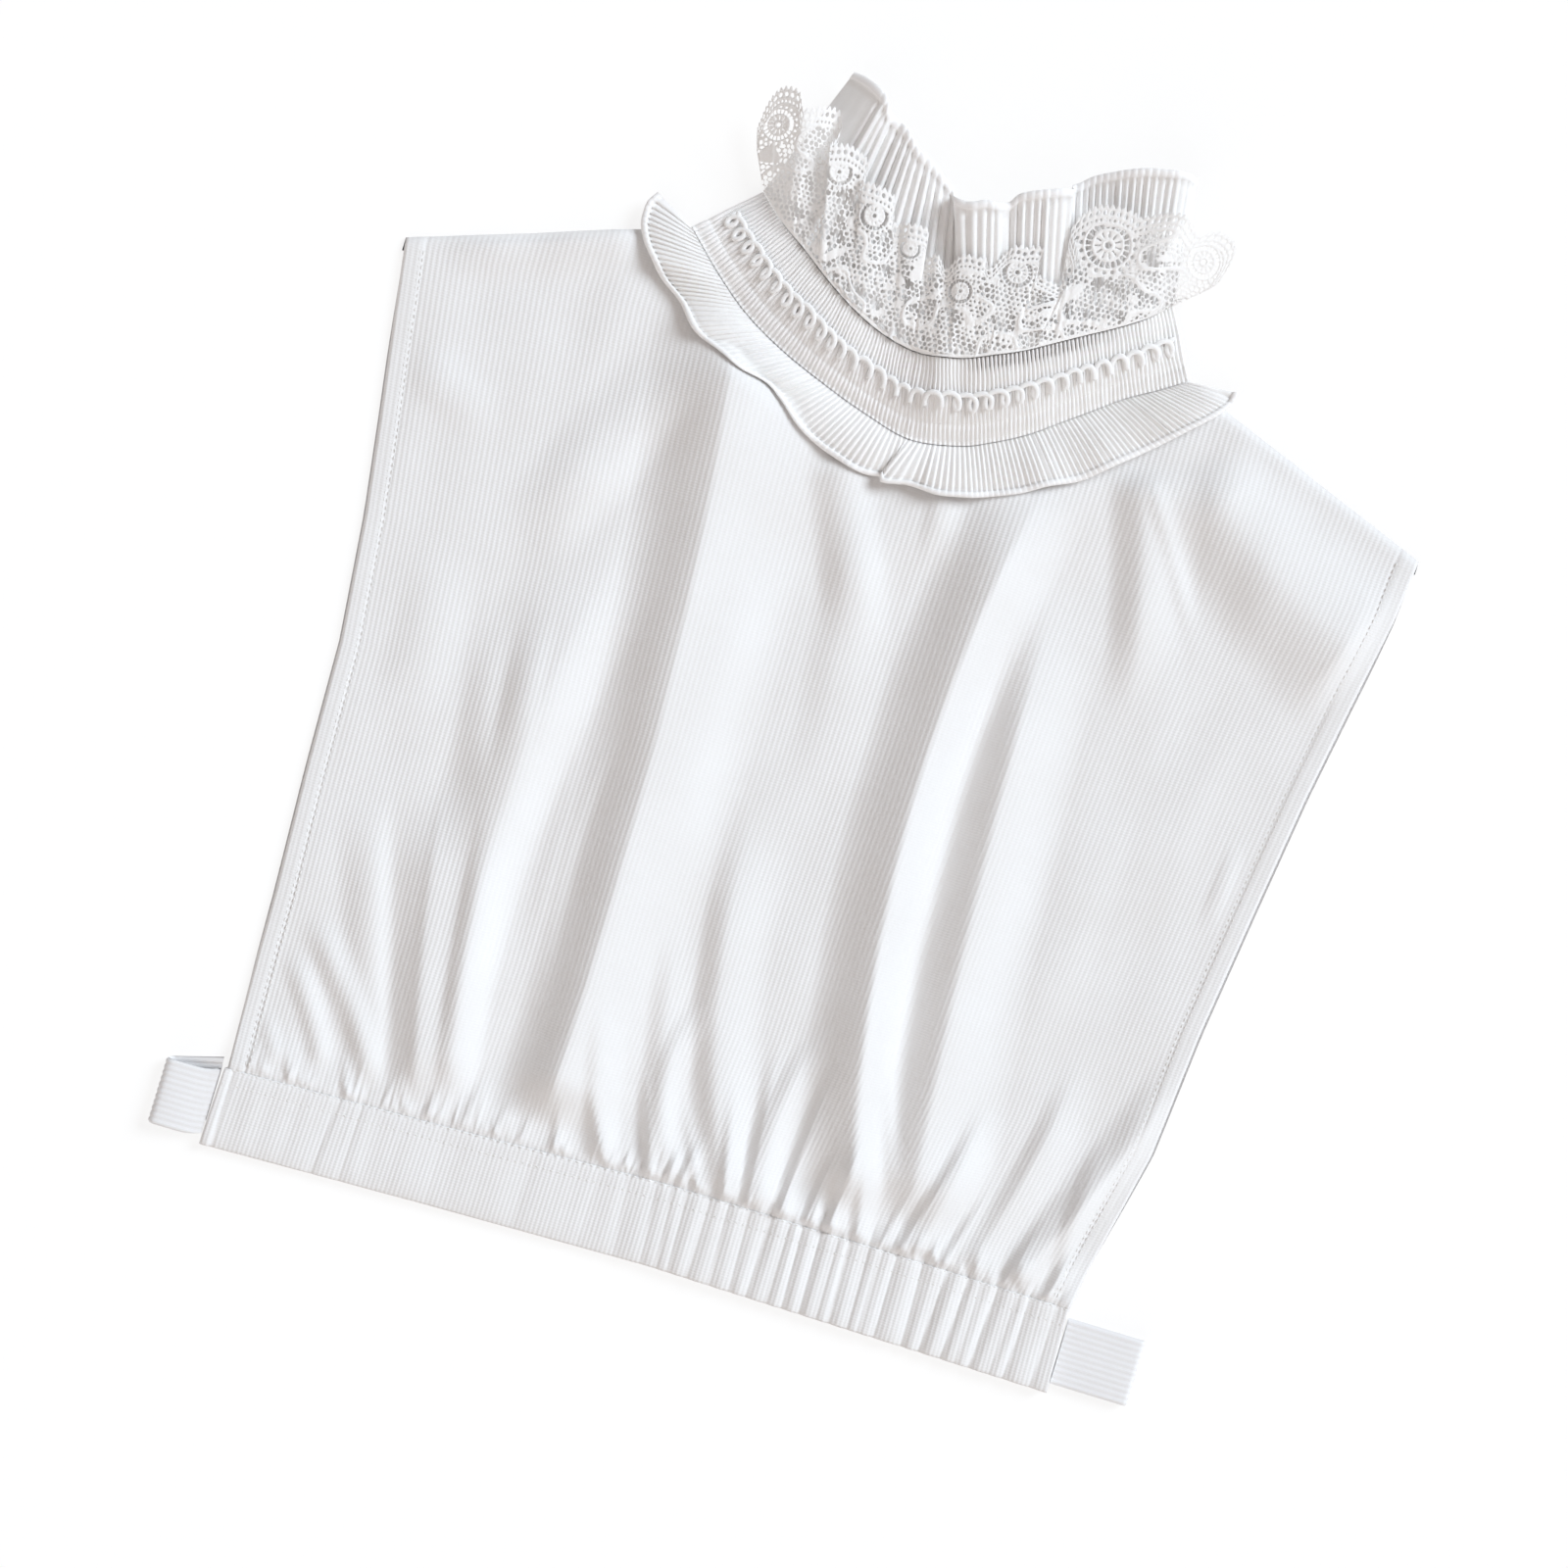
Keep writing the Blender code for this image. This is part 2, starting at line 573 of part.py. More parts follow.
def top_ruffle_outer(u, v):
    """Outer face of the top ruffle, with its pleats."""
    x, y, z = top_outer(u, v)
    return x, y, z + (0.35 + 0.35 * v) * pleat(u, TOP_PLEATS)


def top_ruffle_inner(u, v):
    """Plain inner face of the top ruffle."""
    x, y, z = top_outer(u, v)
    return x, y, z - RUFFLE_CLOTH


def lower_outer(s, t, below):
    """Smooth outer face of the lower ruffle, from the neck seam (0) to its hem (1)."""
    sx, sy = rail(SEAM, s)
    hx, hy, hz = rail(HEM, s)
    x, y = sx + t * (hx - sx), sy + t * (hy - sy) - (1 - t) * 0.5 * GAP
    settle = smoothstep(min(s, 1.0 - s) * 12.0)
    wave = 2.2 * settle * t ** 2 * math.sin(2.0 * math.pi * RUFFLE_WAVES * s)
    z = SEAM_TOP + t * (hz - SEAM_TOP) + 1.5 * math.sin(math.pi * t) + wave
    return x, y, max(z, lowest_clear(below, x, y) + RUFFLE_CLOTH + 0.5)


def lace_outer(s, t, below):
    """Outer face of the lace, from its foot on the strip (0) to its free edge (1)."""
    fx, fy, fz = rail(FOOT, s)
    ex, ey = rail(LACE_EDGE, s)
    x, y = fx + t * (ex - fx), fy + t * (ey - fy)
    floor = lowest_clear(below, x, y, 2.0) + LACE_CLOTH
    inside = smoothstep(min(s, 1.0 - s) * 9.0)
    flute = 0.5 * (1.0 + math.cos(2.0 * math.pi * LACE_FLUTES * s))
    free = max(fz + LACE_CLOTH + 2.0 * t, floor + 0.5)
    return x, y, free + inside * t * (1.6 + 4.2 * flute)


def trim_path(below):
    """The looped braid's way along the stand, on the pleats."""
    points = []
    steps = 4 * TRIM_WAVES
    for k in range(steps + 1):
        s = 0.004 + 0.992 * k / steps
        swing = 1.9 * math.sin(2.0 * math.pi * TRIM_WAVES * s)
        fx, fy, _ = rail(FOOT, s)
        sx, sy = rail(SEAM, s)
        long = math.hypot(fx - sx, fy - sy)
        t = TRIM_AT + swing / long
        x, y = sx + t * (fx - sx), sy + t * (fy - sy)
        z = lowest_clear(below, x, y, 1.4) + 0.5 * TRIM_CORD + 0.1
        points.append((x, y, z))
    return points


def make_trim(name, below, material, collection):
    """The braid: one cord on a serpentine path."""
    curve = bpy.data.curves.new(name, "CURVE")
    curve.dimensions = "3D"
    curve.bevel_depth = 0.5 * TRIM_CORD * MM
    curve.bevel_resolution = 0
    curve.use_fill_caps = True
    spline = curve.splines.new("POLY")
    path = trim_path(below)
    spline.points.add(len(path) - 1)
    for point, place in zip(spline.points, path):
        point.co = (*to_metres(place), 1.0)
    obj = bpy.data.objects.new(name, curve)
    obj.data.materials.append(material)
    collection.objects.link(obj)
    return obj


def make_dickey():
    """All pieces of the garment."""
    clear_scene()
    garment = make_collection("dickey")
    cloth = {name: make_material(name + "_cloth", WHITE, 0.85)
             for name in ("front_panel", "back_panel", "front_casing", "back_casing",
                          "stand_front", "stand_back", "lower_ruffle_front",
                          "lower_ruffle_back", "top_ruffle_front", "top_ruffle_back")}
    lace = {name: make_material(name + "_thread", LACE_WHITE, 0.8)
            for name in ("lace_front", "lace_back", "trim_front", "trim_back")}
    band = {name: make_material(name + "_band", ELASTIC_WHITE, 0.7)
            for name in ("elastic_left", "elastic_right")}

    # Back half, on the table.
    panel_back = cloth_wall("back_panel", even(BACK_COLUMNS), BACK_ROWS, back_panel_upper,
                            back_panel_lower, cloth["back_panel"], garment)
    cloth_wall("back_casing", even(12), even(1), back_casing_upper, back_casing_lower,
               cloth["back_casing"], garment)
    under = BACK_RISE
    back_ring("lower_ruffle_back", SEAM, HEM, 0.02, 0.94, 0.0, CLOTH,
              cloth["lower_ruffle_back"], garment)
    back_ring("trim_back", SEAM, FOOT, 0.32, 0.46, under - GAP - 1.0, 1.0,
              lace["trim_back"], garment)
    back_ring("lace_back", FOOT, TOP, 0.0, 0.62, 0.0, LACE_CLOTH, lace["lace_back"], garment)
    back_ring("stand_back", SEAM, FOOT, 0.02, 0.985, under, CLOTH, cloth["stand_back"], garment)
    back_ring("top_ruffle_back", FOOT, TOP, 0.01, 0.93, under, CLOTH,
              cloth["top_ruffle_back"], garment)

    # Front half, on the back one.
    panel = cloth_wall("front_panel", panel_columns(), PANEL_ROWS, front_panel_upper,
                       front_panel_lower, cloth["front_panel"], garment)
    width = SIDES[-1][2] - SIDES[-1][1]
    creases = [(x - SIDES[-1][1] + 2.0) / (width + 3.4) for x in CASING_CREASES]
    columns = even(8, 0.0, creases[0])
    for a, b in zip(creases, creases[1:]):
        columns += [0.5 * (a + b), b]
    cloth_wall("front_casing", columns + [1.0], CASING_ROWS, front_casing_upper,
               front_casing_lower, cloth["front_casing"], garment)
    elastic_loop("elastic_left", -1, SIDES[-1][1] - 2.0, LEFT_LOOP_REACH, 2.4,
                 band["elastic_left"], garment)
    elastic_loop("elastic_right", 1, SIDES[-1][2] + 1.4, RIGHT_LOOP_REACH, 0.4,
                 band["elastic_right"], garment)

    pleat_columns = even(2 * STRIP_PLEATS)
    stand = cloth_wall("stand_front", pleat_columns, STAND_ROWS, stand_outer, stand_inner,
                       cloth["stand_front"], garment)
    panels = surface_of(panel, panel_back)

    def lower_face(u, v):
        """Outer face of the lower ruffle, with its pleats."""
        x, y, z = lower_outer(u, v, panels)
        return x, y, z + 0.45 * pleat(u, STRIP_PLEATS)

    def lower_inside(u, v):
        """Plain inner face of the lower ruffle."""
        x, y, z = lower_outer(u, v, panels)
        return x, y, z - RUFFLE_CLOTH

    cloth_wall("lower_ruffle_front", pleat_columns, RUFFLE_ROWS, lower_face, lower_inside,
               cloth["lower_ruffle_front"], garment)
    top = cloth_wall("top_ruffle_front", even(2 * TOP_PLEATS), TOP_ROWS, top_ruffle_outer,
                     top_ruffle_inner, cloth["top_ruffle_front"], garment)
    strip = surface_of(stand, top)

    def lace_inside(u, v):
        """Inner face of the lace."""
        x, y, z = lace_outer(u, v, strip)
        return x, y, z - LACE_CLOTH

    cloth_wall("lace_front", even(6 * LACE_FLUTES), LACE_ROWS,
               lambda u, v: lace_outer(u, v, strip), lace_inside, lace["lace_front"], garment)
    make_trim("trim_front", surface_of(stand), lace["trim_front"], garment)


make_dickey()
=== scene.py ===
"""Looks of a white frilled stand-collar dickey, laid flat and seen from straight above.

The tables are in the garment's millimetres: X to the right, Y up the front towards the collar,
Z up off the table. `place` moves them to the frame's metres. Every cloth is a grid of points
that is bent, pleated or gathered by its own few sizes.
"""
import math

import bpy
import numpy as np
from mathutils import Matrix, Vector
from mathutils.bvhtree import BVHTree


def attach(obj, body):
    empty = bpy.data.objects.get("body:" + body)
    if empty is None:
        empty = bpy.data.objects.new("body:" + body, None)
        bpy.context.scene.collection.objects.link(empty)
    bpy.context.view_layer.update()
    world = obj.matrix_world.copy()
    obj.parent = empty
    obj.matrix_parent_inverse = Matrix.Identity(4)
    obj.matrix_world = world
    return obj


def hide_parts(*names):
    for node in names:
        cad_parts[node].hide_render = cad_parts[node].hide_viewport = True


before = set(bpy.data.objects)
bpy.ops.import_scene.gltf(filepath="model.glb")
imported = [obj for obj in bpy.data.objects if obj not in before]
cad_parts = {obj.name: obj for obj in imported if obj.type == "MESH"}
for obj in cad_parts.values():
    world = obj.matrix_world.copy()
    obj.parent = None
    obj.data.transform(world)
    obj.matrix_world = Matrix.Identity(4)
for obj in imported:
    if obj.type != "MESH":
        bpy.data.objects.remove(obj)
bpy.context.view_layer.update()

MM = 0.001
PLAN_CENTRE = (-0.15, -0.85)
UP = np.array((0.0, 0.0, 1.0))

# ---------------------------------------------------------------- sizes, millimetres
GAP = 0.3
CLOTH = 1.1
CASING_CLOTH = 2.4
STRIP_CLOTH = 1.6
HEM_WIDTH = 7.6
ELASTIC_WIDTH = 25.0
ELASTIC_CLOTH = 1.3
LEFT_LOOP_REACH = 21.0
LOOP_SPREAD = 6.4         # the left loop's under run climbs this far
RIGHT_LOOP_REACH = 30.5
BACK_RISE = CLOTH + 2 * GAP
RISE_PLATEAU = 28.0       # how far round the neck seam the back panel lies up
RISE_FADE = 34.0          # and how long it takes to come down
PANEL_SLACK = 0.3
SEAM_LIFT = 2.0           # the panel comes up to the casing's height at the stitching
NECK_TOP = BACK_RISE + CLOTH + GAP + PANEL_SLACK + CLOTH
SEAM_TOP = NECK_TOP + GAP + STRIP_CLOTH

BODY_RIBS = 190           # fine ribs of the body cloth, across the front
RIB_RISE = 0.24
STRIP_PLEATS = 128        # pleats of the collar strip, front half
STRIP_SWELL = 3.6         # the strip's crease near its middle
SWELL_AT = 0.459          # and its share along the collar
GATHER_ROWS = (0.05, 0.24)            # shares up the stand of its two gathering threads
TOP_PLEATS = 52           # pleats of the top ruffle, front half
PLEAT_RISE = 0.85
LOWER_DEPTH, TOP_DEPTH = 21.0, 50.0   # the lower ruffle and the top one, seam to edge
LOWER_HEM, TOP_HEM = 2.4, 3.0         # and their smooth hems
EDGE_DROOP = 4.2          # the lower ruffle's free edge lies nearer the panels than its solid's
HEM_ROLL = 0.85           # how round both ruffles' hems are
HEM_GROOVE = 0.60         # and how deep the line of stitches above them
HEM_STITCHES = 118        # dashes down an armhole hem
CASING_STITCHES = 119     # and along the casing
TURN_UNDER = 5.0          # how far a cloth's edge is carried on under it
LOWEST = 0.02             # under sides on the table lie this much above it
CASING_HEIGHT = 29.4      # from its lower edge to its stitching
ELASTIC_RIBS = 11
BRAID_CORD = 2.0
BRAID_LOOPS = 34
COLLAR_ENDS = 0.012       # the braid and the back half stop short of the strip's ends
LACE_DEPTH = 45.0
LACE_REPEAT = 27.0        # the border's scallops
LACE_CELL = 0.40
FAN_RIM = 11.3            # outer radius of a fan of size 1
NET_ROW, NET_STEP = 1.75, 1.0         # the net's rows, and half the way from hole to hole
NET_HOLE = 0.68           # half the width of a hole of the net
LACE_CLEAR = 1.2          # the lace stands off this much more between foot and edge
PANEL_LENGTH, BACK_WIDTH = 300.0, 390.0   # about, for how far a point is from an edge

# ---------------------------------------------------------------- outline
SIDES = np.array((
    # y, left x, right x
    (-194, -170.8, 152.6), (-176, -171.8, 155.8), (-152, -172.6, 161),
    (-128, -173.1, 166), (-80, -175.4, 170.2), (-32, -176.9, 176.2),
    (16, -181.9, 182.5), (52, -187.2, 188.4), (88, -192.8, 194.6),
    (118, -197.3, 197.6),
))
WAIST = np.array((
    # x, stitch line y, lower edge y
    (-173, -195.7, -225.5), (-90, -192.9, -222.8), (0, -189.2, -220.5),
    (70, -189.5, -221.4), (155, -190.3, -222.4),
))
CASING_LEFT, CASING_RIGHT = SIDES[0, 1] - 2.0, SIDES[0, 2] + 1.4
PANEL_WIDTH = SIDES[-1, 2] - SIDES[-1, 1]
LEFT_SHOULDER = (-197.3, 118.0)
RIGHT_SHOULDER = (197.6, 112.0)

COLLAR = np.array((
    # seam x, y | foot x, y, z
    (-96.8, 152, -75.3, 172.4, 5), (-82.9, 138.8, -65, 162.6, 10),
    (-68, 127, -53.3, 154.4, 12.6), (-51.3, 117.9, -41.7, 146, 13.6),
    (-33.6, 110.7, -29.4, 138.7, 13), (-15.5, 104.5, -16.1, 133.4, 11),
    (3, 100.1, -2.1, 130.9, 10.6), (21.6, 103.1, 12, 133, 16),
    (33.2, 108.1, 23, 137.3, 18), (44.2, 114.3, 33.8, 142.3, 18),
    (54.4, 121.9, 44, 148.4, 17), (64.4, 129.5, 54.1, 154.6, 15.4),
    (74.4, 137.2, 64.2, 160.8, 13.4), (85.2, 143.8, 73.9, 167.7, 10.4),
    (95.8, 150.7, 82.4, 176, 5),
))
# Free edge of the lower ruffle: share along the collar, place and height.
RUFFLE_EDGE = np.array((
    # s, x, y, z
    (0, -112.6, 160.7, 5.6), (0.016, -115.3, 156, 8), (0.034, -115.5, 149.8, 10.5),
    (0.056, -112.5, 142.3, 11.5), (0.076, -107.6, 136.3, 12.5), (0.101, -102.1, 130.5, 10),
    (0.13, -93.5, 124.6, 10.6), (0.165, -84.9, 115.4, 14.6), (0.2, -73.3, 110.4, 12.6),
    (0.228, -64.2, 106.4, 14.4), (0.256, -53.5, 104.4, 14.2), (0.283, -46.8, 100.1, 11.6),
    (0.314, -37.8, 92.7, 11.2), (0.362, -22.1, 85.8, 11.6), (0.394, -9.5, 83, 11.2),
    (0.414, -1.4, 84.4, 9.2), (0.421, 0.6, 85.2, 9.6), (0.427, -3.6, 84.6, 12.4),
    (0.434, -2.4, 81.9, 13.4), (0.452, 7.6, 83.6, 12.6), (0.474, 17.5, 83.2, 14.4),
    (0.505, 28.4, 85.2, 14), (0.557, 39.1, 88.9, 11.6), (0.601, 48.2, 92.8, 12),
    (0.644, 56.7, 97.9, 14.2), (0.702, 68.2, 103.8, 11.6), (0.756, 77.7, 111.8, 14),
    (0.826, 89.7, 122.3, 12.4), (0.896, 101.3, 133.3, 13.6), (0.954, 110.8, 143, 12.2),
    (0.978, 113.9, 147.6, 9.6), (1, 114.5, 152, 6),
))
# Free edge of the top ruffle.
TOP_EDGE = np.array((
    # s, x, y, z
    (0, -55.7, 223.8, 9), (0.044, -50.9, 222.5, 14), (0.093, -45.2, 219.6, 19),
    (0.15, -39.8, 215, 20.5), (0.176, -38.5, 212.2, 18), (0.209, -34.9, 210.5, 15.5),
    (0.251, -30.5, 208.1, 17.5), (0.322, -24.1, 202.1, 17.5), (0.366, -19.2, 200, 16),
    (0.412, -14.5, 197.1, 14.5), (0.462, -8.6, 192.8, 12.5), (0.488, -6.9, 190.2, 13.5),
    (0.506, -7.6, 188.9, 20.5), (0.522, -2.5, 187.9, 24), (0.551, 4.2, 190.2, 25.5),
    (0.581, 9.3, 190.9, 24), (0.598, 12.4, 192.3, 21), (0.622, 15.3, 196.1, 23),
    (0.65, 20, 198.5, 25), (0.691, 26.6, 201.1, 25.6), (0.716, 31.1, 202.8, 24.6),
    (0.728, 33.9, 203.9, 22), (0.74, 33.2, 205.6, 16.4), (0.757, 35.8, 207.9, 15.6),
    (0.783, 39.3, 211, 16.6), (0.826, 45.9, 214.4, 19.5), (0.891, 57, 218.7, 23),
    (0.945, 67.5, 221.1, 23), (0.975, 73.3, 222.3, 18), (1, 76.9, 222.6, 9),
))
# Free edge of the lace: its flutes stand up at the high points and sink between them.
LACE_EDGE = np.array((
    # s, x, y, z
    (0, -82, 186, 7.5), (0.012, -84.4, 195, 10), (0.03, -83, 204, 13.5),
    (0.05, -79, 210.4, 17), (0.07, -73.4, 211.2, 20.5), (0.092, -69, 206, 22.5),
    (0.112, -62.6, 207.6, 21), (0.134, -57.4, 208.6, 17.5), (0.16, -54, 203, 20.5),
    (0.186, -56.6, 195, 23.5), (0.214, -49.4, 196.6, 21.5), (0.246, -40.6, 193.4, 17),
    (0.27, -41.6, 187, 21), (0.292, -36.4, 185.6, 22), (0.322, -28.4, 184, 19.5),
    (0.35, -25.4, 176.6, 16), (0.378, -19.4, 176, 20.5), (0.402, -12.6, 175.6, 19.5),
    (0.424, -11.6, 167, 16), (0.446, -7.4, 168.6, 20), (0.464, -2.6, 163.6, 18.5),
    (0.484, 1, 169.4, 23), (0.512, 9.6, 172.4, 24), (0.54, 13, 168, 20),
    (0.566, 19.6, 179.6, 23.5), (0.596, 29.4, 181.4, 22.5), (0.622, 31.4, 170.6, 18.5),
    (0.65, 40.4, 170.4, 20.5), (0.676, 43, 180, 23), (0.7, 37, 192.6, 22.5),
    (0.726, 41.6, 199.8, 23.5), (0.764, 51, 203.4, 24.5), (0.806, 62, 204, 25),
    (0.852, 75.6, 206.8, 27.5), (0.882, 83, 204, 22), (0.912, 91.4, 206, 19),
    (0.942, 98.4, 200.4, 15), (0.964, 96.8, 190, 12), (0.984, 88.6, 181.6, 9),
    (1, 79, 176.6, 7.5),
))

FANS = (
    # x, y, size: round motifs on the flutes' outer faces
    (51.8, 187.6, 0.98), (87.5, 193, 0.7), (23, 168.5, 0.66), (5, 156, 0.52),
    (-17, 166, 0.46), (-33, 173.5, 0.62), (-50, 185, 0.58), (-76.5, 196, 0.66),
)

# ---------------------------------------------------------------- folds and gathers
FOLDS = (
    # x0, y0, x1, y1 (bend), x2, y2, height, left flank, right flank, upper, lower run-out,
    # crispness of the crest, how the flanks narrow from the upper end to the lower
    (-72, 134, -55, -12, -53, -184, 13, 26, 37, 0.13, 0.06, 0.55, 0.62),
    (60, 112, 43, -30, 66, -182, 13, 22, 18, 0.22, 0.06, 0.6, 0.75),
    (72, 64, 75.5, -50, 87, -180, 9.5, 14, 26, 0.3, 0.08, 0.5, 1.3),
    (104, 124, 144, 92, 190, 68, 8.5, 28, 30, 0.22, 0.12, 0.25, 1.5),
    (88, 116, 102, 70, 112, 18, 5.2, 12, 20, 0.12, 0.45, 0.4, 0.8),
    (-80, 58, -101, -62, -89, -186, 7.5, 26, 17, 0.4, 0.08, 0.3, 0.42),
    (-126, -62, -116, -124, -101, -188, 5, 15, 11, 0.35, 0.12, 0.6, 0.5),
    (-150, -82, -137, -124, -117, -188, 2.4, 12, 8, 0.4, 0.15, 0.2, 0.7),
    (-160, -131, -138, -155, -117, -187, 2.8, 7, 7, 0.35, 0.12, 0.5, 0.8),
    (-163, -146, -149, -164, -137, -186, 2.2, 5.5, 5.5, 0.4, 0.15, 0.5, 0.8),
    (-12, -40, -4, -120, 20, -188, 4.4, 9, 17, 0.35, 0.08, 0.4, 0.8),
    (-26, -90, -20, -138, -8, -186, 2.4, 6.5, 8, 0.4, 0.12, 0.5, 0.8),
    (-84, 110, -103, 62, -124, 14, 4, 20, 16, 0.35, 0.45, 0, 1),
    (-21, 88, -6, 54, 9, 16, 3.2, 13, 13, 0.12, 0.45, 0.1, 1),
    (22, 88, 22, 74, 24, 54, 1.8, 6, 9, 0.15, 0.6, 0.2, 1),
    (173, -86, 151, -142, 130, -188, 5.5, 11, 9, 0.3, 0.08, 0.6, 0.8),
    (131, -102, 124, -146, 112, -188, 3.4, 6, 12, 0.4, 0.08, 0.7, 1),
    (103, -126, 99, -158, 93, -188, 3.4, 6, 10, 0.45, 0.08, 0.6, 1),
    # Fine creases that the solid leaves out.
    (90, 114, 109, 86, 130, 50, 1.2, 2.6, 5, 0.2, 0.4, 0.6, 1),
    (-166, -170, -159, -180, -153, -189, 1.2, 3.5, 4, 0.45, 0.2, 0.4, 1),
    (-184, 80, -163, 68, -142, 64, 1.5, 12, 12, 0.4, 0.5, 0, 1),
    (-70, -28, -75, -80, -68, -150, 1.4, 9, 6, 0.45, 0.45, 0, 1),
    (64, -122, 70, -146, 81, -172, 1.3, 3, 4, 0.4, 0.25, 0.6, 1),
    (163, -4, 162, -24, 160, -46, 1, 4, 4, 0.45, 0.45, 0.2, 1),
    (-32, 60, -40, -10, -36, -96, 1.2, 16, 14, 0.45, 0.45, 0, 1),
    (118, 10, 112, -50, 116, -104, 1.3, 17, 15, 0.45, 0.45, 0, 1),
    (146, 44, 138, -6, 141, -62, 1.2, 15, 14, 0.45, 0.45, 0, 1),
    (-150, 18, -147, -24, -152, -70, 1.6, 14, 15, 0.45, 0.45, 0, 1),
    (-124, 2, -121, -35, -113, -76, 1.4, 9, 7, 0.5, 0.45, 0.2, 1),
    (-108, 8, -106, -28, -102, -62, 1.4, 8, 7, 0.5, 0.45, 0.2, 1),
    (-104, -72, -99, -120, -92, -170, 2, 6, 9, 0.4, 0.3, 0.4, 1),
    (-184, 119, -146, 132, -110, 148, 3.2, 15, 4, 0.3, 0.2, 0.2, 1),
    (-8, 76, 2, 20, 10, -40, 2.2, 14, 18, 0.3, 0.45, 0, 1),
    (40, -112, 30, -150, 34, -188, 3, 6, 9, 0.45, 0.08, 0.5, 0.9),
    (-4, -112, -14, -150, 2, -188, 2.4, 5, 8, 0.45, 0.08, 0.5, 0.9),
    (-44, -128, -38, -160, -30, -188, 2.2, 5, 9, 0.45, 0.08, 0.4, 0.9),
    (150, -120, 146, -156, 147, -186, 2.4, 5, 8, 0.45, 0.08, 0.5, 0.9),
)
GATHERS = (
    # x at the stitching, length, lean of the upper end, height, width
    (-158, 13, -4, 1, 3.6), (-147, 18, -7, 1.3, 4.2), (-126, 22, -6, 1.5, 4.6),
    (-96, 17, 4, 1.4, 4.6), (-82, 28, 5, 1.7, 5.4), (-70, 19, 4, 1.4, 4.2),
    (-46, 24, -4, 1.7, 5), (-26, 32, -16, 2.5, 5.6), (-9, 46, -16, 3, 6.2),
    (1, 22, 4, 1.8, 3.9), (9, 35, -16, 2.6, 5.4), (19, 46, -9, 2.8, 5.6),
    (28, 70, -7, 3.9, 6.9), (40, 68, 5, 4.1, 7.1), (50, 32, 4, 2.5, 4.8),
    (59, 49, 3, 3.4, 6.3), (70, 46, -7, 3.1, 5.6), (79, 30, 7, 2.1, 4.3),
    (86, 68, 19, 3.7, 7.1), (103, 40, 12, 2.8, 5.8), (126, 35, 12, 2.5, 5.6),
    (143, 27, 7, 2.5, 5.2),
)
# Creases of the casing: the left part is nearly smooth, the right part gathered.
CASING_CREASES = np.array((
    # x, depth
    (-142, 0.15), (-129, 0.7), (-124, 0), (-119.5, 0.6), (-102, 0.1),
    (-87, 0.25), (-70, 0.1), (-53, 0.25), (-41, 0.15), (-28, 0.3), (-16, 0.4),
    (-5, 0.45), (1, 0.4), (6, 0.5), (14, 0.65), (22, 0.6), (30, 0.65),
    (37.5, 0.75), (45, 0.5), (50.5, 0.85), (57.5, 0.95), (64, 0.4), (68.5, 0.8),
    (76, 0.55), (80.5, 0.3), (86.5, 0.7), (97, 1), (105, 1), (113.5, 0.9),
    (119, 0.3), (124.5, 1), (132.5, 0.3), (137.5, 0.8), (148, 0.65),
))
GATHER_RISE = 1.7
END_BAND = 4.2            # the armhole hem runs on down the casing's left end
SHORT_CREASES = 90        # small uneven creases just above the casing
STITCH_PITCH = 2.7


# ================================================================ helpers
def place(points):
    """Table millimetres to the frame's metres."""
    return (np.asarray(points, float) - (PLAN_CENTRE[0], PLAN_CENTRE[1], 0)) * MM


def smooth(value):
    """0 to 1 with level ends."""
    t = np.clip(value, 0, 1)
    return t * t * (3 - 2 * t)


def bump(value, at, width):
    """A soft bell of height 1 about `at`."""
    return np.exp(-((value - at) / width) ** 2)


def between(start, end, t):
    """Points a share t of the way from start to end."""
    return start + np.asarray(t)[..., None] * (end - start)


def stitch_line(x):
    """Where the casing is sewn to the panel at x."""
    return np.interp(x, WAIST[:, 0], WAIST[:, 1])


def lower_edge(x):
    """The casing's lower edge at x."""
    return np.interp(x, WAIST[:, 0], WAIST[:, 2])


def rail(columns, s):
    """Points on a line along the collar, a smooth cubic curve through its stations."""
    s = np.asarray(s, float)
    last = len(COLLAR) - 1
    at = np.clip(s, 0, 1) * last
    i = np.minimum(at.astype(int), last - 1)
    t = (at - i)[..., None]
    a, b, d, e = (COLLAR[np.clip(i + k, 0, last)][..., columns] for k in (-1, 0, 1, 2))
    return 0.5 * (2 * b + (d - a) * t + (2 * a - 5 * b + 4 * d - e) * t * t
                  + (3 * b - a - 3 * d + e) * t ** 3)


def curve_at(table, s):
    """Points x, y, z at shares s of an edge table, on a smooth curve through its rows."""
    knots, values = table[:, 0], table[:, 1:]
    slopes = np.gradient(values, knots, axis=0)
    chord = np.diff(values, axis=0) / np.diff(knots)[:, None]
    for k in range(1, len(knots) - 1):
        turn = chord[k - 1] * chord[k] <= 0
        slopes[k] = np.where(turn, 0.35 * slopes[k], slopes[k])
        cap = 2.2 * np.minimum(np.abs(chord[k - 1]), np.abs(chord[k])) + 40
        slopes[k] = np.clip(slopes[k], -cap, cap)
    s = np.clip(np.asarray(s, float), knots[0], knots[-1])
    i = np.clip(np.searchsorted(knots, s, side="right") - 1, 0, len(knots) - 2)
    h = (knots[i + 1] - knots[i])[..., None]
    t = (s - knots[i])[..., None] / h
    return ((2 * t ** 3 - 3 * t ** 2 + 1) * values[i] + (t ** 3 - 2 * t ** 2 + t) * h * slopes[i]
            + (-2 * t ** 3 + 3 * t ** 2) * values[i + 1] + (t ** 3 - t ** 2) * h * slopes[i + 1])


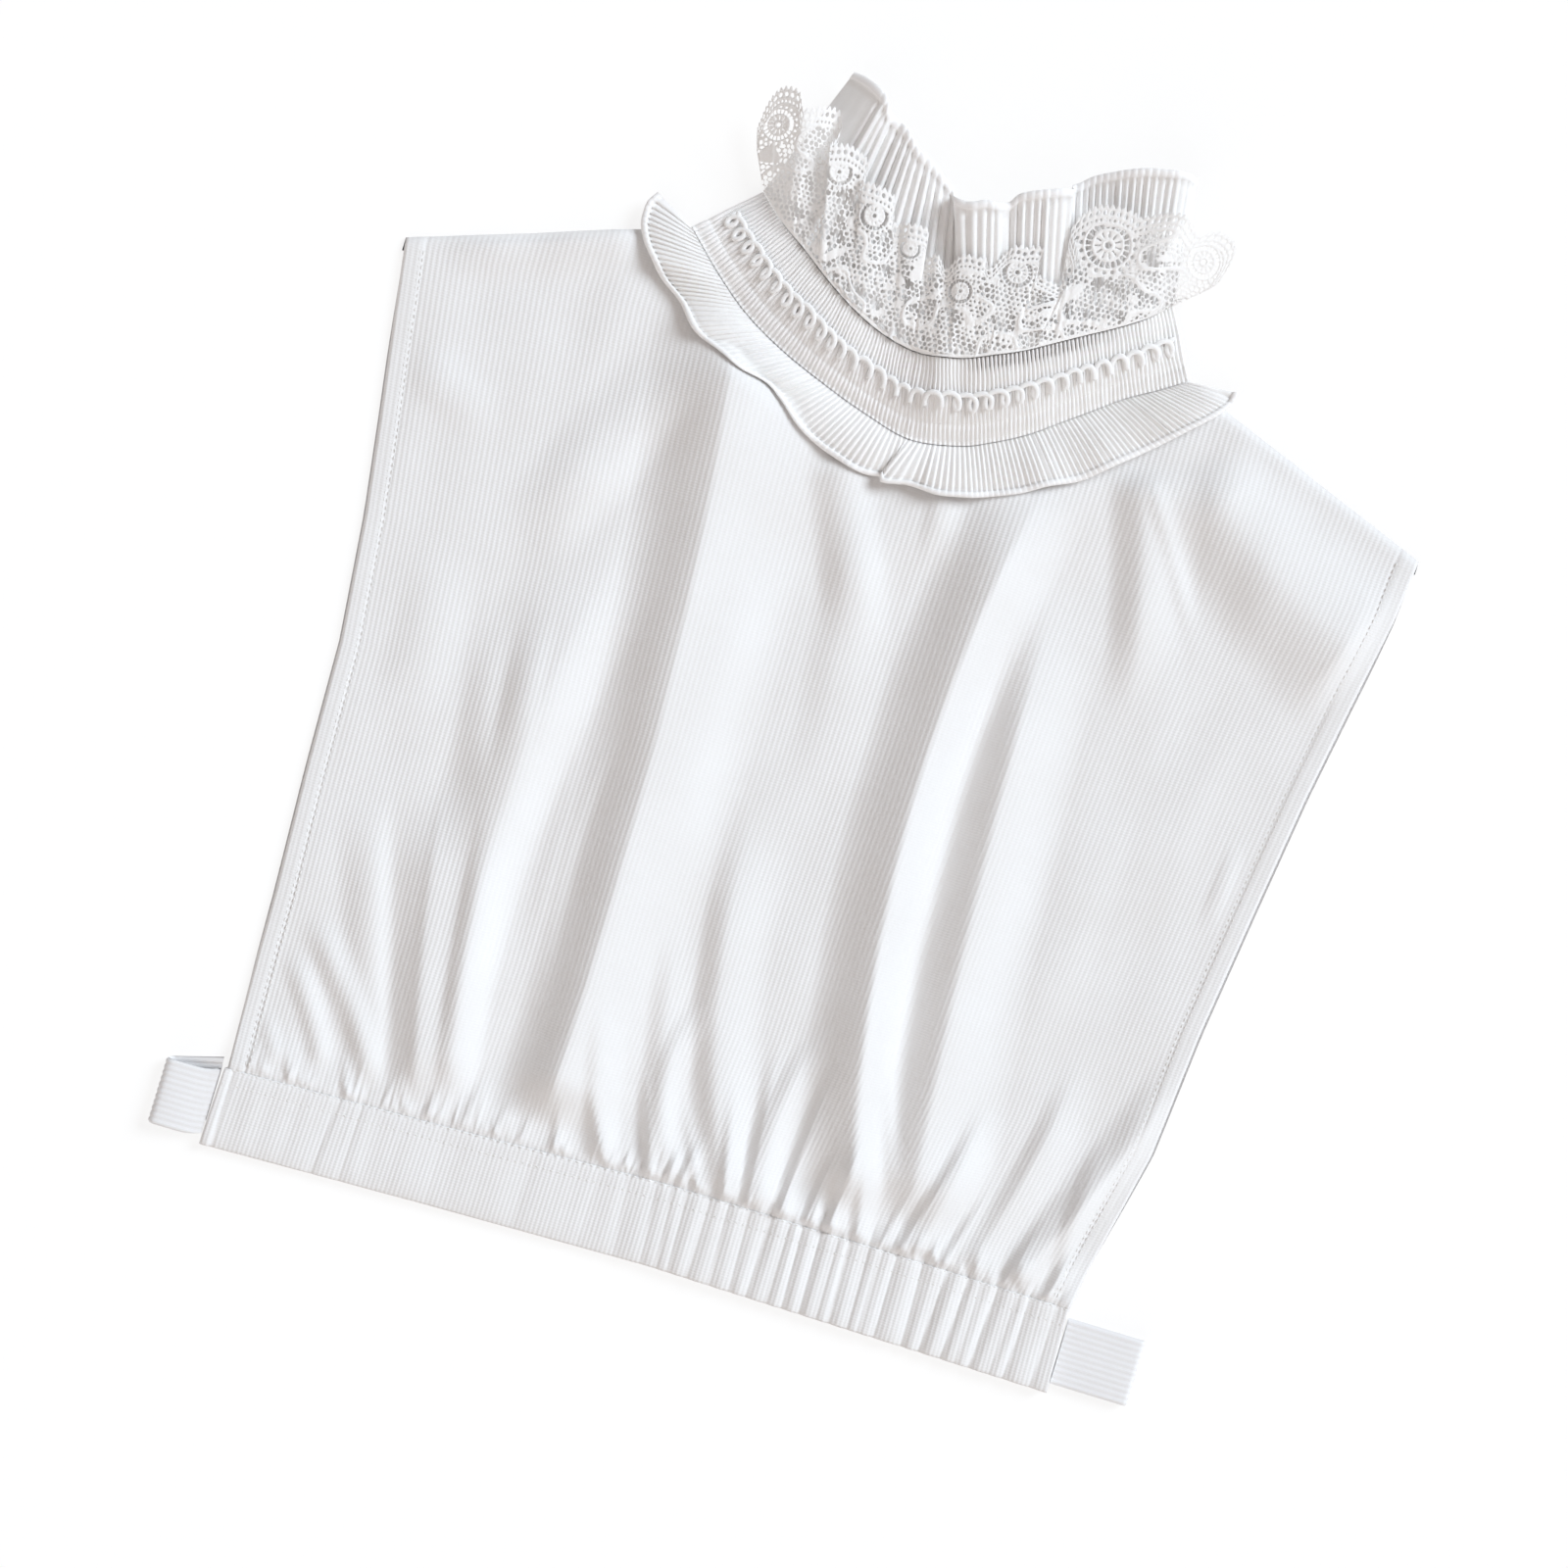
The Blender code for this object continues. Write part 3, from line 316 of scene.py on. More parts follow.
def bend_points(x0, y0, x1, y1, x2, y2):
    """Points of a smooth bend that passes through its middle point."""
    cx, cy = 2 * x1 - 0.5 * (x0 + x2), 2 * y1 - 0.5 * (y0 + y2)
    t = np.linspace(0, 1, 13)
    a, b, c = (1 - t) ** 2, 2 * t * (1 - t), t * t
    return np.stack((a * x0 + b * cx + c * x2, a * y0 + b * cy + c * y2), -1)


def nearest_on(points, x, y):
    """Share along a line and signed distance (left is negative) for arrays of points."""
    best = np.full(x.shape, 1e9)
    share, side = np.zeros(x.shape), np.ones(x.shape)
    for k in range(len(points) - 1):
        (ax, ay), (bx, by) = points[k], points[k + 1]
        dx, dy = bx - ax, by - ay
        t = np.clip(((x - ax) * dx + (y - ay) * dy) / (dx * dx + dy * dy), 0, 1)
        ex, ey = x - ax - t * dx, y - ay - t * dy
        far = np.hypot(ex, ey)
        closer = far < best
        best = np.where(closer, far, best)
        share = np.where(closer, (k + t) / (len(points) - 1), share)
        side = np.where(closer, np.where(dx * ey - dy * ex > 0, 1, -1), side)
    return share, best * side


def wander(x, y, scale_x, scale_y, count, seed):
    """Smooth uneven field of about -1 to 1, with its own length across and along."""
    rng = np.random.default_rng(seed)
    total = np.zeros(np.broadcast(x, y).shape)
    for _ in range(count):
        ax, ay = rng.normal(0, 1, 2)
        total += np.sin(ax * x / scale_x + ay * y / scale_y + rng.uniform(0, 6.283))
    return total / math.sqrt(count)


def make_piece(name, points, faces, material, slot, *nodes):
    """A piece from points in table millimetres and an array of quads.

    Every piece rides on the one body and stands for its nodes; the slot it is given is not used.
    """
    points = place(points).reshape(-1, 3).astype(np.float32)
    faces = np.asarray(faces, np.int32)
    used, faces = np.unique(faces, return_inverse=True)
    faces = faces.reshape(-1, 4)
    points = points[used]
    mesh = bpy.data.meshes.new(name)
    mesh.vertices.add(len(points))
    mesh.vertices.foreach_set("co", points.ravel())
    mesh.loops.add(faces.size)
    mesh.loops.foreach_set("vertex_index", faces.ravel())
    mesh.polygons.add(len(faces))
    mesh.polygons.foreach_set("loop_start", np.arange(0, faces.size, 4, dtype=np.int32))
    mesh.polygons.foreach_set("use_smooth", np.ones(len(faces), bool))
    mesh.update(calc_edges=True)
    mesh.validate()
    obj = bpy.data.objects.new(name, mesh)
    mesh.materials.append(material)
    bpy.context.scene.collection.objects.link(obj)
    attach(obj, "root")
    if nodes:
        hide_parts(*nodes)
    return obj


def quads(rows, columns, close_rows=False, close_columns=False):
    """Quads of a grid of points, rows by columns."""
    r = np.arange(rows if close_rows else rows - 1)
    c = np.arange(columns if close_columns else columns - 1)
    r, c = np.meshgrid(r, c, indexing="ij")
    r2, c2 = (r + 1) % rows, (c + 1) % columns
    return np.stack((r * columns + c, r * columns + c2, r2 * columns + c2, r2 * columns + c),
                    -1).reshape(-1, 4)


def wall_piece(name, top, under, *finish):
    """A closed cloth between two faces of the same grid."""
    points = np.concatenate((top, under[::-1]), axis=0)
    rows, columns = points.shape[:2]
    r = np.arange(top.shape[0] - 1)
    caps = []
    for column in (0, columns - 1):
        a, b = r * columns + column, (r + 1) * columns + column
        c, d = (rows - 2 - r) * columns + column, (rows - 1 - r) * columns + column
        caps.append(np.stack((a, b, c, d) if column else (d, c, b, a), -1))
    faces = np.vstack([quads(rows, columns, close_rows=True)] + caps)
    return make_piece(name, points, faces, *finish)


def grid_piece(name, points, *finish, **closed):
    """A piece from a grid of points."""
    rows, columns = points.shape[:2]
    return make_piece(name, points, quads(rows, columns, **closed), *finish)


def tubes(name, paths, radius, sides, *finish, flat=1):
    """Round or flattened cords along paths (n, 3), joined in one piece."""
    points, faces, base = [], [], 0
    angle = np.arange(sides) * 2 * math.pi / sides
    for path in paths:
        path = np.asarray(path, float)
        along = np.gradient(path, axis=0)
        along /= np.maximum(np.linalg.norm(along, axis=1), 1e-9)[:, None]
        across = np.cross(along, UP)
        across /= np.maximum(np.linalg.norm(across, axis=1), 1e-9)[:, None]
        up = np.cross(across, along)
        taper = np.ones(len(path))
        taper[0] = taper[-1] = 0.25
        r = radius * taper[:, None, None]
        ring = path[:, None] + r * (np.cos(angle)[:, None] * across[:, None]
                                    + flat * np.sin(angle)[:, None] * up[:, None])
        points.append(ring.reshape(-1, 3))
        faces.append(quads(len(path), sides, close_columns=True) + base)
        base += len(path) * sides
    return make_piece(name, np.concatenate(points), np.concatenate(faces), *finish)


def stitch_row(points, length, lift, arch):
    """Paths of short stitches along a line, each an arch that enters the cloth at both ends."""
    step = np.gradient(points, axis=0)
    step /= np.linalg.norm(step, axis=1)[:, None]
    t = np.linspace(-0.5, 0.5, 5)[:, None]
    bow = UP * (lift + arch * (1 - (2 * t) ** 2))
    return [at + along * t * length + bow for at, along in zip(points, step)]


# ================================================================ materials
# How far a cloth's darker, warmer and lighter patches are from its colour. The patches follow
# random noise and the weave's relief, so they are partly painted shade in the weave's hollows and
# painted light on its crests.
SHADED, LIT, WARMER = 0.045, 0.015, 0.012


def set_sockets(tree, node, sockets):
    """Each socket of a node takes a value or the output of another node."""
    for name, value in sockets.items():
        if isinstance(value, bpy.types.NodeSocket):
            tree.links.new(value, node.inputs[name])
        else:
            node.inputs[name].default_value = value
    return node


def add_node(tree, kind, sockets, **settings):
    """A shader node with its sockets and settings."""
    node = tree.nodes.new("ShaderNode" + kind)
    for name, value in settings.items():
        setattr(node, name, value)
    return set_sockets(tree, node, sockets)


def cloth_material(name, colour, roughness, weave, weave_depth, fuzz, stretch=(1, 1, 1)):
    """Woven or knitted cloth: thread relief, slight uneven colour that is partly painted shade and
    light following the weave, and a soft sheen.
    """
    material = bpy.data.materials.new(name)
    material.use_nodes = True
    tree = material.node_tree
    where = add_node(tree, "TexCoord", {}).outputs["Object"]
    stretched = add_node(tree, "Mapping", {"Vector": where, "Scale": stretch}).outputs["Vector"]
    threads = add_node(tree, "TexNoise", {
        "Vector": stretched, "Scale": weave, "Detail": 3, "Roughness": 0.65})
    rows = add_node(tree, "TexWave", {
        "Vector": stretched, "Scale": weave * 0.3, "Distortion": 2.5, "Detail": 1,
        "Detail Scale": 3}, wave_type="BANDS", bands_direction="Y")
    mixed = add_node(tree, "Mix", {
        "Factor": 0.35, "A": threads.outputs["Fac"], "B": rows.outputs["Fac"]}, data_type="FLOAT")
    relief = add_node(tree, "Bump", {
        "Strength": 0.75, "Distance": weave_depth, "Height": mixed.outputs["Result"]})

    patches = add_node(tree, "TexNoise", {"Vector": where, "Scale": 26, "Detail": 4})
    # Painted shade and light: the colour darkens and warms where the weave's relief is low and
    # lightens where it is high, mixed with random patches.
    both = add_node(tree, "Mix", {
        "Factor": 0.45, "A": patches.outputs["Fac"], "B": mixed.outputs["Result"]},
        data_type="FLOAT")
    tone = add_node(tree, "ValToRGB", {"Fac": both.outputs["Result"]})
    shaded, lit = tone.color_ramp.elements
    r, g, b = colour
    shaded.position, lit.position = 0.25, 0.7
    shaded.color = (r - SHADED, g - SHADED - WARMER, b - SHADED - 2 * WARMER, 1)
    lit.color = (r + LIT, g + LIT, b + LIT, 1)
    set_sockets(tree, tree.nodes["Principled BSDF"], {
        "Base Color": tone.outputs["Color"], "Roughness": roughness, "Sheen Weight": fuzz,
        "Sheen Roughness": 0.5, "Specular IOR Level": 0.18, "Normal": relief.outputs["Normal"]})
    return material


BODY = cloth_material("ribbed_cotton", (0.872, 0.872, 0.876), 0.88, 1500, 0.0001, 0.1,
                      stretch=(1, 0.7, 1))
PLEATED = cloth_material("pleated_cotton", (0.92, 0.918, 0.916), 0.85, 2100, 0.00006, 0.1)
LACE = cloth_material("lace_thread", (0.965, 0.963, 0.96), 0.8, 2600, 0.0001, 0.15)
BRAID = cloth_material("braid_thread", (0.945, 0.945, 0.945), 0.75, 1900, 0.00012, 0.2)
BAND = cloth_material("elastic_band", (0.88, 0.885, 0.9), 0.7, 1600, 0.0001, 0.05)
HEMS = cloth_material("doubled_hem", (0.962, 0.962, 0.968), 0.85, 2100, 0.00006, 0.1)
THREAD = cloth_material("sewing_thread", (0.88, 0.875, 0.865), 0.55, 3000, 0.00004, 0.05)


# ================================================================ body cloth
FOLD_LINES = [(bend_points(*row[:6]), row[6:]) for row in FOLDS]
SEAM_LINE = rail((0, 1), np.linspace(0, 1, 29))


def fold_height(x, y):
    """Height that the folds add to the front panel."""
    height = np.zeros(x.shape)
    for points, (rise, left, right, upper, lower, crisp, narrow) in FOLD_LINES:
        share, distance = nearest_on(points, x, y)
        width = 2 * (1 + (narrow - 1) * share) / (1 + narrow)
        reach = np.where(distance < 0, left, right) * width
        run_out = smooth(share / upper) * smooth((1 - share) / lower)
        blunt = np.sqrt(distance ** 2 + 1) - 1
        off = np.clip(blunt / reach, 0, 1)
        profile = (1 - crisp) * np.cos(0.5 * math.pi * off) ** 2 + crisp * (1 - off) ** 1.6
        height += rise * run_out * profile
    return height


def needle_dents(x, off, at, depth):
    """Small dents where a row of stitches pulls the cloth down, `off` millimetres from the seam."""
    beat = 0.5 + 0.5 * np.cos(2 * math.pi * x / STITCH_PITCH)
    return depth * bump(off, at, 0.75) * (0.35 + 0.65 * beat ** 2)


def casing_relief(x, lean):
    """Relief of the elastic's gathers at x; lean shifts them, as they are never quite upright."""
    at, depth = CASING_CREASES.T
    x = x + 1.5 * lean * wander(x, 0 * x, 7, 1, 8, 41)
    i = np.clip(np.searchsorted(at, x) - 1, 0, len(at) - 2)
    valley = np.zeros(x.shape)
    for k in (i, i + 1):
        reach = np.minimum(0.5 * (at[i + 1] - at[i]), 4.2)
        valley = np.maximum(valley, depth[k] * np.clip(1 - np.abs(x - at[k]) / reach, 0, 1) ** 1.5)
    gathered = smooth((x + 26) / 46)
    return GATHER_RISE * gathered * (1 - valley) - 0.8 * (1 - gathered) * valley


def gather_height(x, above):
    """Height of the short gathers, `above` millimetres up from the stitching."""
    rng = np.random.default_rng(17)
    rows = list(GATHERS)
    for _ in range(SHORT_CREASES):
        foot_x = -166 + 316 * rng.uniform(0, 1) ** 0.8
        rows.append((foot_x, rng.uniform(6, 19), rng.normal(0, 3.5),
                     rng.uniform(0.3, 1.1), rng.uniform(1.4, 3.2)))
    height = np.zeros(x.shape)
    for foot_x, length, lean, rise, wide in rows:
        share = above / length
        width = wide * (1 + 0.6 * share)
        off = (x - foot_x - lean * share) / width
        off = np.where(off < 0, off * 1.9, off * 0.85)
        near = np.clip(1 - np.abs(off), 0, 1)
        wave = 0.45 * np.sin(0.5 * math.pi * near) ** 2 + 0.55 * near ** 1.5
        height += np.where(share < 1, rise * wave * smooth((1 - share) * 1.3), 0)
    return height


def seam_distance(x, y):
    """How far points of the plan are from the neck seam."""
    return np.abs(nearest_on(SEAM_LINE, x, y)[1])


def neck_rise(x, y):
    """How far the back panel lies up, on the back half of the lower ruffle."""
    return BACK_RISE * smooth(1 - (seam_distance(x, y) - RISE_PLATEAU) / RISE_FADE)


def top_line(x):
    """Upper edge of a panel at x: shoulder, neck seam, shoulder."""
    corners = np.vstack((LEFT_SHOULDER, SEAM_LINE, RIGHT_SHOULDER))
    return np.interp(x, corners[:, 0], corners[:, 1])


def panel_plan(u, v, tuck):
    """Plan places of a panel: u across, v from the stitching to the top edge."""
    hem_x = SIDES[0, 1] + u * (SIDES[0, 2] - SIDES[0, 1])
    top_x = LEFT_SHOULDER[0] + u * (RIGHT_SHOULDER[0] - LEFT_SHOULDER[0])
    low = stitch_line(hem_x) + 0.5 * GAP
    neck = (top_x > SEAM_LINE[0, 0]) & (top_x < SEAM_LINE[-1, 0])
    high = top_line(top_x) + np.where(neck, tuck, 0)
    y = low + v * (high - low)
    left = np.interp(y, SIDES[:, 0], SIDES[:, 1])
    right = np.interp(y, SIDES[:, 0], SIDES[:, 2])
    return left + u * (right - left), y, y - low


def front_height(x, y, above, edge):
    """Outer face of the front panel's cloth, without its ribs."""
    z = CLOTH + GAP + PANEL_SLACK + neck_rise(x, y)
    settle = smooth(0.3 + 0.7 * edge / 15) * smooth((seam_distance(x, y) - 4) / 16)
    z = z + settle * (fold_height(x, y) + gather_height(x, above) * smooth(0.15 + above / 4.5))
    z = z + SEAM_LIFT * smooth(1 - above / 22)
    z = z + casing_relief(x, 0.5 + above / 9) * smooth(1 - above / 13)
    z = z - needle_dents(x, above, 0, 0.45) - needle_dents(x, above, 4.3, 0.22)
    uneven = 0.46 * wander(x, y, 14, 38, 16, 3) + 0.16 * wander(x, y, 5.5, 13, 14, 5)
    return z + CLOTH + settle * uneven * smooth(edge / 14) * smooth(above / 12)


def rib_columns(count):
    """Shares across with four columns to a rib, and the rib's relief at each."""
    k = np.arange(4 * count + 1)
    return k / (4 * count), np.array((0, 0.74, 1, 0.74))[k % 4]


def front_panel():
    """The ribbed front, turned under along both armhole edges and the shoulders."""
    u, rib = rib_columns(BODY_RIBS)
    # Rows lie close together just above the stitching, millimetres of some 320, then evenly.
    near_seam = np.array((0, 0.5, 1.1, 1.9, 3, 4.3, 5.7)) / 320
    v = np.concatenate((near_seam, np.linspace(0, 1, 109)[3:]))
    uu, vv = np.meshgrid(u, v)
    x, y, above = panel_plan(uu, vv, 1)
    edge = np.minimum(uu, 1 - uu) * PANEL_WIDTH
    z = front_height(x, y, above, edge)
    beyond = HEM_WIDTH - edge
    turned = 0.45 * smooth((beyond + 0.9) / 1.8) - 0.3 * bump(beyond, 0, 0.8)
    z = z + turned + RIB_RISE * (rib - 1) * (1 - 0.35 * smooth(beyond / 2))
    # The edges round over: the outermost columns go down to the cloth's under side.
    z = z - smooth((1.6 - edge) / 1.6) ** 2
    shoulder = np.where((x < SEAM_LINE[0, 0] - 3) | (x > SEAM_LINE[-1, 0] + 3), 1, 0)
    z = z - shoulder * 1.2 * smooth((2.4 - (1 - vv) * PANEL_LENGTH) / 2.4) ** 2
    z = np.maximum(z, CLOTH + neck_rise(x, y) + 0.45)
    points = np.stack((x, y, z), -1)
    # The lower edge runs on under the casing.
    tucked = points[0] + (0, -1.6, -1.1)
    points = np.concatenate((tucked[None], points), axis=0)

    def under(side_points, inward):
        """Two more lines of points that carry an edge round and under."""
        lowest = CLOTH + neck_rise(side_points[:, 0], side_points[:, 1]) + 0.15
        down, back = side_points.copy(), side_points + inward
        down[:, 2] = np.maximum(side_points[:, 2] - 0.8, lowest)
        back[:, 2] = np.maximum(down[:, 2] - 0.15, lowest)
        return down, back

    left_a, left_b = under(points[:, 0], (TURN_UNDER, 0, 0))
    right_a, right_b = under(points[:, -1], (-TURN_UNDER, 0, 0))
    points = np.concatenate((left_b[:, None], left_a[:, None], points, right_a[:, None],
                             right_b[:, None]), axis=1)
    top_a, top_b = under(points[-1], (0, -TURN_UNDER, 0))
    points = np.concatenate((points, top_a[None], top_b[None]), axis=0)
    return grid_piece("front_panel_cloth", points, BODY, "rib_cloth", "front_panel")


def hem_stitches():
    """The coverstitch along both armhole hems: two rows of small dashes."""
    paths = []
    v = np.linspace(0.012, 0.988, HEM_STITCHES)
    for side, inward in ((0, 1), (1, -1)):
        edge_x, y, _ = panel_plan(np.full(v.shape, side), v, 1)
        for offset in (HEM_WIDTH, HEM_WIDTH - 1.3):
            x = edge_x + inward * offset
            z = front_height(x, y, y - stitch_line(x), np.full(v.shape, offset))
            paths += stitch_row(np.stack((x, y, z), -1), 1.7, 0.02, 0.22)
    return tubes("hem_stitches", paths, 0.2, 5, THREAD, "rib_cloth")


def casing_plan(u, v):
    """Plan places of a casing: u across, v from its lower edge to the stitching."""
    left, right = CASING_LEFT + 1.2 * v, CASING_RIGHT - 1.2 * v
    x = left + u * (right - left)
    low = lower_edge(x)
    return x, low + v * (stitch_line(x) - 0.5 * GAP - low)


def casing_face(x, y, v):
    """Outer face of the front casing without its ribs."""
    rounded = np.clip(1 - 2 * v, 0, 1) ** 6
    relief = casing_relief(x, (v - 0.5) * 1.6)
    sway = 0.22 * wander(x, y, 4, 20, 12, 11) * smooth((x + 30) / 40)
    quiet = 0.16 * wander(x, y, 3, 40, 12, 12) + 0.2 * wander(x, y, 12, 30, 8, 13)
    body = CASING_CLOTH + GAP + CASING_CLOTH
    off = CASING_HEIGHT * (1 - v)
    pinched = -needle_dents(x, off, 0, 0.45) - needle_dents(x, off, 5.6, 0.16)
    end = x - CASING_LEFT
    turned = 0.75 * smooth((END_BAND - end) / 1.2) - 1.1 * smooth(1 - end / 1.8) ** 2
    turned = turned - 0.5 * bump(end - END_BAND, 0.4, 0.8)
    uneven = (sway + quiet) * (1 - np.abs(2 * v - 1) ** 4)
    return body + relief + uneven - rounded + pinched + turned


def casing_piece(name, node, outer, under_z, end_in, end_z):
    """A casing: its outer face, a flat under side, and ends that round off."""
    under = outer[[-1, 0]]
    under[..., 2] = under_z
    ring = np.concatenate((outer, under), axis=0)
    ends = [ring[:, :1].copy(), ring[:, -1:].copy()]
    for end, way in zip(ends, (end_in, -end_in)):
        end[:, :, 0] += way
        end[:, :, 2] = end_z
    ring = np.concatenate((ends[0], ring, ends[1]), axis=1)
    return grid_piece(name, ring, BODY, "rib_cloth", node, close_rows=True)


def front_casing():
    """The casing round the elastic, its ribs running on from the front."""
    u, rib = rib_columns(BODY_RIBS)
    v = np.array((0, 0.03, 0.08, 0.16, 0.26, 0.36, 0.46, 0.56, 0.66, 0.74, 0.8, 0.86, 0.92,
                  0.955, 0.982, 1))
    uu, vv = np.meshgrid(u, v)
    x, y = casing_plan(uu, vv)
    outer = np.stack((x, y, casing_face(x, y, vv) + RIB_RISE * (rib - 1)), -1)
    base = CASING_CLOTH + GAP
    return casing_piece("front_casing_cloth", "front_casing", outer, base, 0.4, base + 0.3)


def casing_stitches():
    """Dashes of the casing's stitching, and the fainter row above the elastic."""
    paths = []
    u = (np.arange(CASING_STITCHES) + 0.5) / CASING_STITCHES
    for v_at, length, lift in ((0.992, 1.5, 0), (0.81, 1.3, -0.05)):
        v = np.full(CASING_STITCHES, v_at)
        x, y = casing_plan(u, v)
        z = casing_face(x, y, v) - 0.12
        paths += stitch_row(np.stack((x, y, z), -1), length, lift, 0.26)
    return tubes("casing_stitches", paths, 0.2, 5, THREAD, "rib_cloth")


def back_panel():
    """The back, flat on the table under the front."""
    uu, vv = np.meshgrid(np.linspace(0, 1, 133), np.linspace(0, 1, 49))
    x, y, _ = panel_plan(uu, vv, -0.5 * GAP)
    peep = np.where(uu < 0.5, 0.7, 1) * (1 - 2 * uu)
    side = smooth(1 - np.minimum(uu, 1 - uu) / 0.1)
    x = x - peep * side * smooth(4 * vv) * smooth(6 * (1 - vv))
    low = neck_rise(x, y)
    edge = np.minimum(np.minimum(uu, 1 - uu) * BACK_WIDTH,
                      np.minimum(1 - vv, vv + 0.02) * PANEL_LENGTH)
    # The cloth's edges round over.
    top = np.stack((x, y, low + CLOTH - 0.35 * smooth((1.5 - edge) / 1.5)), -1)
    under = np.stack((x, y, low + LOWEST), -1)
    return wall_piece("back_panel_cloth", top, under, BODY, "rib_cloth", "back_panel")


def back_casing():
    """The casing of the back, hidden under the front one."""
    v = np.array((0, 0.04, 0.15, 0.5, 0.85, 0.96, 1))
    uu, vv = np.meshgrid(np.linspace(0, 1, 81), v)
    x, y = casing_plan(uu, vv)
    outer = np.stack((x, y, CASING_CLOTH - 0.05 - 0.5 * (2 * vv - 1) ** 6), -1)
    return casing_piece("back_casing_cloth", "back_casing", outer, LOWEST, 0.3, 1)


def elastic(name, side, start_x, reach, bulge, node):
    """The waist elastic: out of the front casing, round, and into the back casing."""
    low_z = 0.5 * (CASING_CLOTH - ELASTIC_CLOTH)
    high_z = CASING_CLOTH + GAP + low_z
    middle_y = 0.5 * (stitch_line(start_x) + lower_edge(start_x))
    half_turn = 0.5 * (high_z + bulge - low_z)
    run = reach - half_turn - ELASTIC_CLOTH
    share = np.linspace(0, 1, 14)
    turn = np.linspace(-0.5, 0.5, 15)[1:-1] * math.pi
    path = np.concatenate((
        np.stack((run * share, np.full(14, low_z)), -1),
        np.stack((run + half_turn * np.cos(turn), low_z + half_turn * (1 + np.sin(turn))), -1),
        np.stack((run * (1 - share), high_z + bulge * np.sin(0.5 * math.pi * (1 - share))), -1),
    ))
    along = np.gradient(path, axis=0)
    along /= np.linalg.norm(along, axis=1)[:, None]
    normal = np.stack((along[:, 1], -along[:, 0]), -1)
    across = np.linspace(0, 1, 6 * ELASTIC_RIBS + 1)
    ridge = 0.5 - 0.5 * np.cos(2 * math.pi * ELASTIC_RIBS * across)
    ridge = 0.3 * (ridge ** 0.6 - 1)
    edge = np.minimum(across, 1 - across) * ELASTIC_WIDTH
    ridge = ridge - 0.35 * smooth((0.9 - edge) / 0.9)

    def layer(offset, relief):
        """One face of the band."""
        depth = offset + math.copysign(1, offset) * relief
        x = path[:, :1] + depth * normal[:, :1]
        z = path[:, 1:] + depth * normal[:, 1:] + 0.5 * ELASTIC_CLOTH
        under = smooth((high_z + bulge - z) / (high_z + bulge - low_z))
        shift = LOOP_SPREAD * np.clip(1 - x / reach, 0, 1) if side < 0 else 0
        y = middle_y + (across[None] - 0.5) * ELASTIC_WIDTH + under * shift
        z = z + 0.5 * under * shift * smooth((across[None] - 0.74) / 0.26)
        return np.stack((start_x + side * (GAP + x), y, z), -1)

    outer, inner = layer(0.5 * ELASTIC_CLOTH, ridge), layer(-0.5 * ELASTIC_CLOTH, ridge)
    ring = np.concatenate((outer, inner[:, ::-1]), axis=1)
    return grid_piece(name, ring, BAND, "elastic", node, close_columns=True)


# ================================================================ collar
def even_share(share):
    """Share along the tables for a share of the collar strip's own length."""
    knots = np.linspace(0, 1, 141)
    middle = 0.5 * (rail((0, 1), knots) + rail((2, 3), knots))
    run = np.concatenate(((0,), np.cumsum(np.hypot(*np.diff(middle, axis=0).T))))
    return np.interp(share, run / run[-1], knots)


def top_share(share):
    """Share along the tables for a share of the top ruffle's pleats: wider ones at the left."""
    return np.interp(share, (0, 0.08, 0.36, 0.64, 1), (0, 0.12, 0.5, 0.74, 1))


def pleat_columns(count, crest=0.5, shape=1):
    """Shares along the collar with eight columns to a pleat, and the relief at each."""
    at = np.array((0, 0.1, 0.24, 0.4, 0.56, 0.72, 0.84, 0.93))
    s = ((np.arange(count)[:, None] + at) / count).ravel()
    climb = np.where(at < crest, at / crest, (1 - at) / (1 - crest))
    rise = np.tile(np.sin(0.5 * math.pi * climb) ** shape, count)
    return np.append(s, 1), np.append(rise, 0)


def pleat_noise(s, count, seed, amount):
    """Each pleat a little higher or lower than its neighbours."""
    rng = np.random.default_rng(seed)
    level = 1 + amount * rng.normal(0, 1, count + 2)
    return level[np.clip((s * count).astype(int), 0, count)]


def strip_face(s, t):
    """Smooth outer face of the collar strip: t is 0 at the neck seam, 1 at the lace foot."""
    foot, seam = rail((2, 3, 4), s), rail((0, 1), s)
    ease = np.sin(0.5 * math.pi * np.clip(t, 0, 1))
    plan = between(seam, foot[..., :2], t)
    off = np.asarray(s, float) - SWELL_AT
    near = np.clip(1 - np.abs(off) / np.where(off < 0, 0.115, 0.05), 0, 1)
    swell = STRIP_SWELL * smooth(t / 0.6) * np.where(off < 0, near ** 1.5, smooth(near))
    z = SEAM_TOP + ease * (foot[..., 2] - SEAM_TOP) + swell
    return np.concatenate((plan, z[..., None]), -1)


def stand_relief(s, t, rise):
    """Relief of the stand's pleats, pressed down at the gather rows, parted near the lace."""
    pressed = 1 - 0.62 * bump(t, GATHER_ROWS[0], 0.03) - 0.62 * bump(t, GATHER_ROWS[1], 0.03)
    slots = smooth((s - 0.5) / 0.06) * smooth((0.9 - s) / 0.16) * smooth((t - 0.83) / 0.05)
    level = pleat_noise(s, STRIP_PLEATS, 21, 0.13)
    deep = 2.4 * slots * smooth((0.55 - rise) / 0.35)
    return PLEAT_RISE * pressed * level * rise - 0.35 * (1 - pressed) - deep


